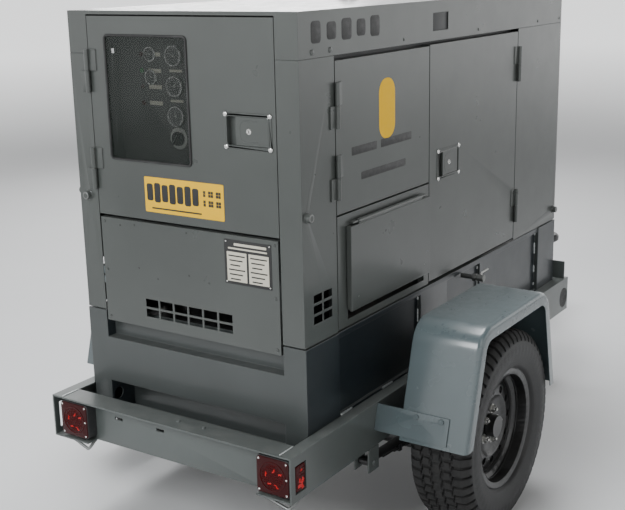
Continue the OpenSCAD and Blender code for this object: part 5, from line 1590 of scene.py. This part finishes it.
@dataclass
class RearDoorDetails:
    """The window's rubber and glass, and the yellow plate under it."""

    body: str = "rear_door"

    def gasket(self) -> Shape:
        """A rubber section swept round the window: a bead outside, a groove for the sheet."""
        width = WINDOW_HIGH.y - WINDOW_LOW.y + 0.008
        height = WINDOW_HIGH.z - WINDOW_LOW.z + 0.008
        y, z = (WINDOW_HIGH.y + WINDOW_LOW.y) / 2, (WINDOW_HIGH.z + WINDOW_LOW.z) / 2
        rings = []
        section = [(-0.0039, 0.0002), (-0.0036, 0.0026), (-0.0024, 0.0046), (0.0, 0.005), (0.0024, 0.0046),
                   (0.0038, 0.0026),
                   (0.0039, -0.004), (0.0036, -0.0088), (0.0004, -0.0088), (0.0, 0.0)]
        for inset, lift in section:
            ring = rounded_outline(width, height, 0.012, inset, 12)
            rings.append(np.column_stack([ring, np.full(len(ring), lift)]))
        return loft(np.array(rings), close_rows=True).placed(facing_rear(REAR_X, y, z))

    def build(self) -> None:
        """Makes the window and the plate."""
        width = WINDOW_HIGH.y - WINDOW_LOW.y
        height = WINDOW_HIGH.z - WINDOW_LOW.z
        y, z = (WINDOW_HIGH.y + WINDOW_LOW.y) / 2, (WINDOW_HIGH.z + WINDOW_LOW.z) / 2
        pane = slab(width, height, 0.005, 0.008, 0.0006).placed(facing_rear(REAR_X + 0.004, y, z))
        piece("window_rubber", self.gasket(), Finish.RUBBER, self.body, replaces=("window_gasket",))
        piece("window_pane", pane, Finish.GLASS, self.body, replaces=("window_glass",))
        spot = facing_rear(REAR_X, 0.438 - HALF_W, DECK_Z + 0.412)
        plate = slab(0.314, 0.112, 0.0009, 0.004, 0.0003)
        piece("number_plate", plate.placed(spot), Finish.YELLOW, self.body)
        marks = []
        for i in range(7):
            tall = 0.062 if i % 2 else 0.054
            marks.append(slab(0.025, tall, 0.0004, 0.007, 0.0001).at(-0.135 + i * 0.0305, 0.008, 0.0009))
        for a in range(7):
            for b in range(7):
                if (a * 3 + b * 5 + a * b) % 3:
                    marks.append(slab(0.0088, 0.0088, 0.0004, 0.001, 0.0001).at(
                        0.083 + a * 0.0098, -0.022 + b * 0.0098, 0.0009))
        marks.append(slab(0.2, 0.005, 0.0004, 0.002, 0.0001).at(-0.03, -0.042, 0.0009))
        piece("number_plate_marks", joined(marks).placed(spot), Finish.INK, self.body)


@dataclass
class Controls:
    """The instrument panel behind the window: gauges, lamps, blank labels, knob and stop button."""

    body: str = "chassis"

    def gauge(self, spot: Matrix, radius: float, needle: float) -> dict[str, Shape]:
        """One gauge.

        Args:
            spot: its frame, Z out of the panel.
            radius: the bezel's radius.
            needle: the needle's angle in degrees from straight up.

        Returns:
            The shapes of its bezel, dial, ticks and glass.
        """
        bezel = turned([(radius, -0.001), (radius, 0.0035), (radius - 0.0015, 0.005), (radius - 0.004, 0.005),
                        (radius - 0.005, 0.0012)], 48, True)
        dial = turned([(radius - 0.0045, 0.0), (radius - 0.0045, 0.0008), (0.0001, 0.0008)], 40)
        ticks = []
        for k in range(11):
            turn = spun(120 - 24 * k)
            tick = slab(0.0014, 0.0042 if k % 5 else 0.0065, 0.0003, 0.0004, 0.0001)
            ticks.append(tick.at(0, radius - 0.0095, 0.0009).placed(turn))
        ticks.append(slab(0.0016, radius * 0.85, 0.0006, 0.0007, 0.0001).at(0, radius * 0.28, 0.0016).placed(
            spun(needle)))
        ticks.append(turned([(0.003, 0.0008), (0.003, 0.003), (0.0001, 0.0034)], 16))
        glass = turned([(radius - 0.0045, 0.0036), (radius - 0.0045, 0.0042), (0.0001, 0.0042)], 40)
        return {k: v.placed(spot) for k, v in (("bezel", bezel), ("dial", dial), ("ticks", joined(ticks)),
                                               ("glass", glass))}

    def build(self) -> None:
        """Makes the panel's pieces."""
        rolled("control_panel", Finish.FASCIA, 0.8, 2)
        lo, hi = low("control_panel"), high("control_panel")
        face_x = lo.x + 0.009
        y0, z1 = WINDOW_LOW.y - 0.004, WINDOW_HIGH.z + 0.004
        gauge_y, lamp_y = y0 + 0.095, WINDOW_HIGH.y + 0.004 - 0.1
        sets = [self.gauge(facing_rear(face_x - 0.0092, gauge_y, z1 - 0.062 - i * 0.092), 0.032, a)
                for i, a in enumerate((62, -35, 15))]
        sets += [self.gauge(facing_rear(face_x - 0.001, gauge_y + 0.1, z1 - 0.06 - i * 0.07), 0.024, a)
                 for i, a in enumerate((80, 40))]
        for name, finish in (("bezel", Finish.BRIGHT), ("dial", Finish.INK), ("ticks", Finish.DIAL),
                             ("glass", Finish.GAUGE_GLASS)):
            piece(f"gauge_{name}s", joined([s[name] for s in sets]), finish, self.body)
        lamp = turned([(0.0078, 0.0), (0.0078, 0.002), (0.0066, 0.004), (0.0035, 0.0058), (0.0001, 0.0062)],
                      24)
        bright, green = [], []
        for i in range(4):
            shape = lamp.placed(facing_rear(face_x - 0.006, lamp_y, z1 - 0.06 - i * 0.05))
            (green if i == 1 else bright).append(shape)
        piece("warning_lamps", joined(bright), Finish.RED_FACET, self.body)
        piece("running_lamp", joined(green), Finish.GREEN_LENS, self.body)
        labels = []
        for i in range(4):
            labels.append(slab(0.052, 0.012, 0.0006, 0.001, 0.0002).placed(
                facing_rear(face_x, lamp_y - 0.046, z1 - 0.06 - i * 0.05)))
        for i in range(3):
            labels.append(slab(0.05, 0.008, 0.0006, 0.001, 0.0002).placed(
                facing_rear(face_x, gauge_y, z1 - 0.108 - i * 0.092)))
        piece("panel_labels", joined(labels), Finish.CREAM, self.body)
        strip = span((face_x - 0.003, WINDOW_HIGH.y + 0.002, lo.z + 0.01),
                     (face_x, WINDOW_HIGH.y + 0.02, hi.z - 0.01))
        rail = span((face_x - 0.006, y0 - 0.008, lo.z + 0.012), (face_x, y0 + 0.004, hi.z - 0.012))
        piece("panel_side_strips", strip + rail, Finish.BODY, self.body)
        hood = span((face_x - 0.012, lo.y, hi.z - 0.004), (face_x, hi.y, hi.z - 0.004 + 0.0016))
        piece("panel_hood", hood, Finish.INNER, self.body)
        rolled("selector_switch", Finish.PLASTIC, 1.2, 3)
        rolled("stop_button", Finish.RED_KNOB, 3.0, 4)
        knob = middle("selector_switch")
        dial = turned([(0.034, 0), (0.034, 0.001), (0.0335, 0.0014), (0.0235, 0.0014), (0.0235, 0.0)], 48,
                      True)
        piece("selector_scale", dial.placed(facing_rear(face_x, knob.y, knob.z)), Finish.DIAL, self.body)
        pointer = slab(0.0028, 0.034, 0.0006, 0.001, 0.0002).placed(
            facing_rear(low("selector_switch").x, knob.y, knob.z) @ spun(-35))
        piece("selector_pointer", pointer.at(0.0006, 0, 0), Finish.DIAL, "selector_switch")
        stop = middle("stop_button")
        collar = turned([(0.021, 0), (0.021, 0.0012), (0.012, 0.0014), (0.012, 0)], 40, True)
        piece("stop_collar", collar.placed(facing_rear(face_x, stop.y, stop.z)), Finish.YELLOW, self.body)


@dataclass
class TerminalBay:
    """The load terminals behind their lid, with the main breaker."""

    body: str = "chassis"

    def build(self) -> None:
        """Makes the bay's pieces and its lid."""
        rolled("terminal_panel", Finish.BODY, 1.0, 2)
        rolled("terminal_flap", Finish.BODY, 1.6, 3)
        rolled("breaker_lever", Finish.PLASTIC, 0.8, 2)
        lo, hi = low("terminal_flap"), high("terminal_flap")
        y = -HALF_W + 0.0355
        nuts, rings, insulators = [], [], []
        for i in range(5):
            x = lo.x + 0.06 + i * 0.044
            z = DECK_Z + 0.094
            spot = facing_right(x, y, z)
            nuts.append(hexagon(0.014, 0.01).placed(shifted(spot, 0, 0, 0.0005)))
            nuts.append(turned([(0.0042, 0), (0.0042, 0.02), (0.0034, 0.021)], 14).placed(spot))
            rings.append(turned([(0.0125, 0), (0.0125, 0.0016), (0.005, 0.0016)], 26).placed(spot))
            insulators.append(turned([(0.0155, -0.022), (0.0155, -0.014), (0.0128, -0.011),
                                      (0.0128, -0.006), (0.0148, -0.003),
                                      (0.0148, -0.0005), (0.009, -0.0004)], 28).placed(spot))
        piece("terminal_nuts", joined(nuts), Finish.BRASS, self.body)
        piece("terminal_washers", joined(rings), Finish.ZINC, self.body)
        piece("terminal_insulators", joined(insulators), Finish.RED_KNOB, self.body)
        face_y = -HALF_W + 0.02
        mid_x, z = lo.x + 0.375, DECK_Z + 0.174
        details = [slab(0.082, 0.012, 0.0008, 0.002, 0.0003).placed(
            facing_right(mid_x, face_y, z + s * 0.048)) for s in (-1, 1)]
        piece("breaker_labels", joined(details), Finish.CREAM, self.body)
        screws = [shallow_dome(0.0045, 0.0022).placed(
            facing_right(mid_x + a * 0.036, face_y, z + b * 0.034)) for a in (-1, 1) for b in (-1, 1)]
        piece("breaker_screws", joined(screws), Finish.ZINC, self.body)
        width = hi.x - lo.x
        ridge = [rod((lo.x + 0.004, lo.y + 0.0052, lo.z + 0.003),
                     (hi.x - 0.004, lo.y + 0.0052, lo.z + 0.003), 0.0048, 18)]
        ridge.append(span((lo.x + 0.03, lo.y + 0.0028, lo.z + 0.018),
                          (hi.x - 0.03, lo.y + 0.0036, lo.z + 0.021), 0.0003))
        piece("flap_rolled_edge", joined(ridge), Finish.BODY, "terminal_flap")
        pulls = [shallow_dome(0.006, 0.0028).placed(
            facing_right(lo.x + width * s, lo.y + 0.0028, lo.z + 0.04)) for s in (0.08, 0.92)]
        piece("flap_fasteners", joined(pulls), Finish.ZINC, "terminal_flap")


@dataclass
class SideMarkings:
    """Plain stand-ins on the right doors for the owner's markings, which aren't reproduced."""

    def build(self) -> None:
        """Makes a plain amber badge and dark bars."""
        base = facing_right(REAR_X + 0.47, -HALF_W, DECK_Z + 0.61)
        badge = slab(0.1, 0.19, 0.0005, 0.045, 0.0002).at(0.02, 0.045, 0)
        piece("door_badge", badge.placed(base), Finish.YELLOW, "right_rear_door")
        bars = [slab(0.15, 0.026, 0.0005, 0.004, 0.0002).at(-0.12, -0.062, 0),
                slab(0.2, 0.026, 0.0005, 0.004, 0.0002).at(0.08, -0.062, 0),
                slab(0.28, 0.024, 0.0005, 0.004, 0.0002).at(0.0, -0.145, 0)]
        piece("door_marking_bars", joined(bars).placed(base), Finish.INK, "right_rear_door")


@dataclass
class PowerUnit:
    """Engine, alternator and cooling set inside the house."""

    body: str = "chassis"

    def build(self) -> None:
        """Makes the power unit's pieces."""
        rolled("engine_block", Finish.ENGINE, 5.0, 3)
        rolled("alternator_housing", Finish.ROTOR, 3.0, 3)
        rolled("crankshaft_set", Finish.ROTOR, 1.0, 2)
        rolled("radiator", Finish.COOLER, 2.0, 2)
        block_low, block_high = low("engine_block"), high("engine_block")
        axis_z = (low("crankshaft_set").z + high("crankshaft_set").z) / 2
        alt_low = low("alternator_housing")
        ribs = []
        for i in range(12):
            x = alt_low.x + 0.06 + i * 0.028
            ring = turned([(0.1895, 0), (0.196, 0.0015), (0.196, 0.0065), (0.1895, 0.008)], 64)
            ribs.append(along_x(ring).at(x, 0, axis_z))
        piece("alternator_ribs", joined(ribs), Finish.ROTOR, self.body)
        fins = []
        radiator_low, radiator_high = low("radiator"), high("radiator")
        for y in np.arange(-0.272, 0.2721, 0.017):
            fins.append(span((radiator_low.x + 0.0045, y - 0.0025, radiator_low.z + 0.075),
                             (radiator_low.x + 0.0062, y + 0.0025, radiator_high.z - 0.08), 0.0004))
        piece("radiator_fins", joined(fins), Finish.COOLER, self.body)
        shroud = turned([(0.225, 0.0), (0.235, 0.0), (0.235, 0.03), (0.262, 0.05), (0.256, 0.05),
                         (0.225, 0.034)], 64, True)
        shroud = along_x(shroud).at(radiator_low.x - 0.052, 0, axis_z)
        piece("fan_shroud", shroud, Finish.COOLER, self.body)
        top = block_high.z
        hoses = [tube([(block_high.x - 0.03, -0.05, top - 0.09), (block_high.x + 0.03, -0.06, top - 0.07),
                       (block_high.x + 0.075, -0.08, top - 0.02),
                       (radiator_low.x + 0.012, -0.1, radiator_high.z - 0.055)], 0.021, 60, ribs=0.03),
                 tube([(block_high.x - 0.03, 0.11, axis_z - 0.205),
                       (block_high.x + 0.05, 0.2, axis_z - 0.225),
                       (radiator_low.x + 0.01, 0.245, DECK_Z + 0.08)], 0.021, 60, ribs=0.03)]
        piece("coolant_hoses", joined(hoses), Finish.HOSE, self.body)
        pipes = []
        for i in range(4):
            x = block_low.x + 0.106 + i * 0.116
            pipes.append(tube([(x, -0.092, top - 0.12), (x + 0.005, -0.12, top - 0.08),
                               (x, -0.085, top - 0.03), (x - 0.01, -0.045, top - 0.002)], 0.0035, 30))
            pipes.append(tube([(x, -0.092, top - 0.12), (x - 0.02, -0.13, top - 0.17),
                               (block_low.x + 0.2, -0.125, axis_z + 0.13)], 0.0035, 30))
        piece("injector_lines", joined(pipes), Finish.ZINC, self.body)
        pump = span((block_low.x + 0.14, -0.16, axis_z + 0.08), (block_low.x + 0.3, -0.088, axis_z + 0.16),
                    0.008)
        filters = [turned([(0.04, 0), (0.043, 0.004), (0.043, 0.1), (0.036, 0.115), (0.012, 0.12)], 36).at(
            block_low.x + 0.38, -0.195, axis_z - 0.06)]
        piece("injection_pump", pump, Finish.ENGINE, self.body)
        piece("oil_filter", joined(filters), Finish.YELLOW, self.body)
        bolts = [hexagon(0.014, 0.009).placed(
            flat_on(block_low.x + 0.06 + i * 0.088, s * 0.055, top - 0.0002)) for i in range(6)
                 for s in (-1, 1)]
        piece("rocker_cover_bolts", joined(bolts), Finish.ZINC, self.body)
        bands = []
        cleaner_z = axis_z + 0.2
        for x in (block_low.x + 0.12, block_low.x + 0.34):
            ring = turned([(0.0618, 0), (0.0645, 0.001), (0.0645, 0.017), (0.0618, 0.018)], 48)
            bands.append(Shape(ring.points[:, [2, 0, 1]], ring.faces).at(x, block_high.y - 0.062, cleaner_z))
        piece("air_cleaner_bands", joined(bands), Finish.ZINC, self.body)
        muffler = span((block_low.x + 0.06, -0.3, top + 0.05), (block_low.x + 0.52, -0.14, top + 0.16), 0.03)
        piece("silencer", muffler, Finish.ZINC, self.body)
        pipe = tube([(block_low.x + 0.2, -0.09, top - 0.07), (block_low.x + 0.14, -0.2, top - 0.04),
                     (block_low.x + 0.14, -0.22, top + 0.06)], 0.024, 40)
        outlet = tube([(block_low.x + 0.44, -0.22, top + 0.15), (REAR_X + 1.24, -0.235, ROOF_Z - 0.07),
                       (REAR_X + 1.24, -0.235, ROOF_Z - 0.004)], 0.024, 40)
        piece("exhaust_pipes", pipe + outlet, Finish.ZINC, self.body)


@dataclass
class Studio:
    """The pale floor, the backdrop's light and the camera that stands where the photograph's did."""

    position: tuple[float, float, float] = (-3.9627, -2.1622, 1.8732)
    azimuth: float = -56.126
    elevation: float = 14.856
    roll: float = -1.246
    lens: float = 63.07

    def camera(self) -> None:
        """Sets the camera from its place, heading, tilt and roll."""
        a, e, r = (math.radians(v) for v in (self.azimuth, self.elevation, self.roll))
        back = Vector((math.sin(a) * math.cos(e), -math.cos(a) * math.cos(e), math.sin(e)))
        right = Vector((math.cos(a), math.sin(a), 0.0))
        up = back.cross(right)
        right, up = right * math.cos(r) + up * math.sin(r), up * math.cos(r) - right * math.sin(r)
        data = bpy.data.cameras.new("studio_camera")
        data.lens, data.sensor_width = self.lens, 36.0
        data.clip_end = 100.0
        eye = bpy.data.objects.new("studio_camera", data)
        pose = Matrix((right, up, back)).transposed().to_4x4()
        pose.translation = Vector(self.position)
        eye.matrix_world = pose
        bpy.context.scene.collection.objects.link(eye)
        bpy.context.scene.camera = eye

    def lamp(self, name: str, place: tuple[float, float, float], size: float, power: float,
             tint: Colour) -> None:
        """One soft square light that looks at the machine's middle."""
        data = bpy.data.lights.new(name, "AREA")
        data.energy, data.size, data.color = power, size, tint
        thing = bpy.data.objects.new(name, data)
        thing.location = place
        thing.rotation_mode = "QUATERNION"
        thing.rotation_quaternion = (Vector((-0.4, 0.0, 0.9)) - Vector(place)).to_track_quat("-Z", "Y")
        bpy.context.scene.collection.objects.link(thing)

    def build(self) -> None:
        """Makes the floor, the lights and the camera."""
        t = np.linspace(0, 2 * np.pi, 96, endpoint=False)
        r = np.concatenate([[0.01], np.linspace(4.0, 16.0, 40)])
        height = 7.0 * np.clip((r - 6.5) / 9.5, 0, 1) ** 2
        rings = np.stack([r[:, None] * np.cos(t), r[:, None] * np.sin(t),
                          np.repeat(height[:, None], 96, 1)], -1)
        shape = loft(rings, caps=False)
        mesh = bpy.data.meshes.new("studio_floor")
        mesh.from_pydata(shape.points.tolist(), [], shape.faces)
        mesh.shade_smooth()
        floor = bpy.data.objects.new("studio_floor", mesh)
        g = Graph("studio_floor_grey")
        g.drive("Base Color", g.mix(g.ramp(g.noise(0.4, 4.0), 0.3, 0.7), (0.55, 0.55, 0.555),
                                    (0.59, 0.59, 0.59)))
        g.drive("Emission Color", g.mix(g.ramp(g.part("Z"), 0.0, 0.85), (0.0, 0.0, 0.0), (1.15, 1.16, 1.16)))
        g.set(Roughness=0.85, Emission_Strength=1.0)
        mesh.materials.append(g.material)
        bpy.context.scene.collection.objects.link(floor)
        world = bpy.data.worlds.new("studio_air")
        world.use_nodes = True
        world.node_tree.nodes["Background"].inputs["Color"].default_value = (0.60, 0.61, 0.62, 1.0)
        world.node_tree.nodes["Background"].inputs["Strength"].default_value = 0.36
        bpy.context.scene.world = world
        self.lamp("key_light", (-3.2, -5.6, 4.8), 2.4, 55.0, (1.0, 0.98, 0.95))
        self.lamp("top_light", (0.2, 0.6, 5.6), 3.0, 430.0, (0.96, 0.98, 1.0))
        self.lamp("rear_fill", (-6.0, 0.4, 4.0), 2.0, 230.0, (0.95, 0.98, 1.0))
        self.lamp("rim_light", (4.0, 4.0, 3.5), 2.5, 200.0, (1.0, 1.0, 1.0))
        self.camera()


def main() -> None:
    """Builds every assembly, then the studio."""
    builders = [TrailerFrame(), Fenders(), Wheel(Side.RIGHT), Wheel(Side.LEFT), Suspension(), Lamps(),
                Jack(), Base(), Enclosure(),
                Door("rear_door", (-1, 0)), Door("right_rear_door", (0, -1)),
                Door("right_front_door", (0, -1)),
                Door("left_rear_door", (0, 1)), Door("left_front_door", (0, 1)), RearDoorDetails(),
                Latch("rear", "rear_door", True), Latch("right", "right_front_door"),
                Latch("left", "left_front_door"),
                Controls(), TerminalBay(), SideMarkings(), PowerUnit()]
    for builder in builders:
        LOG.info("-- %s", type(builder).__name__)
        builder.build()
    Studio().build()


if __name__ == "__main__":
    main()
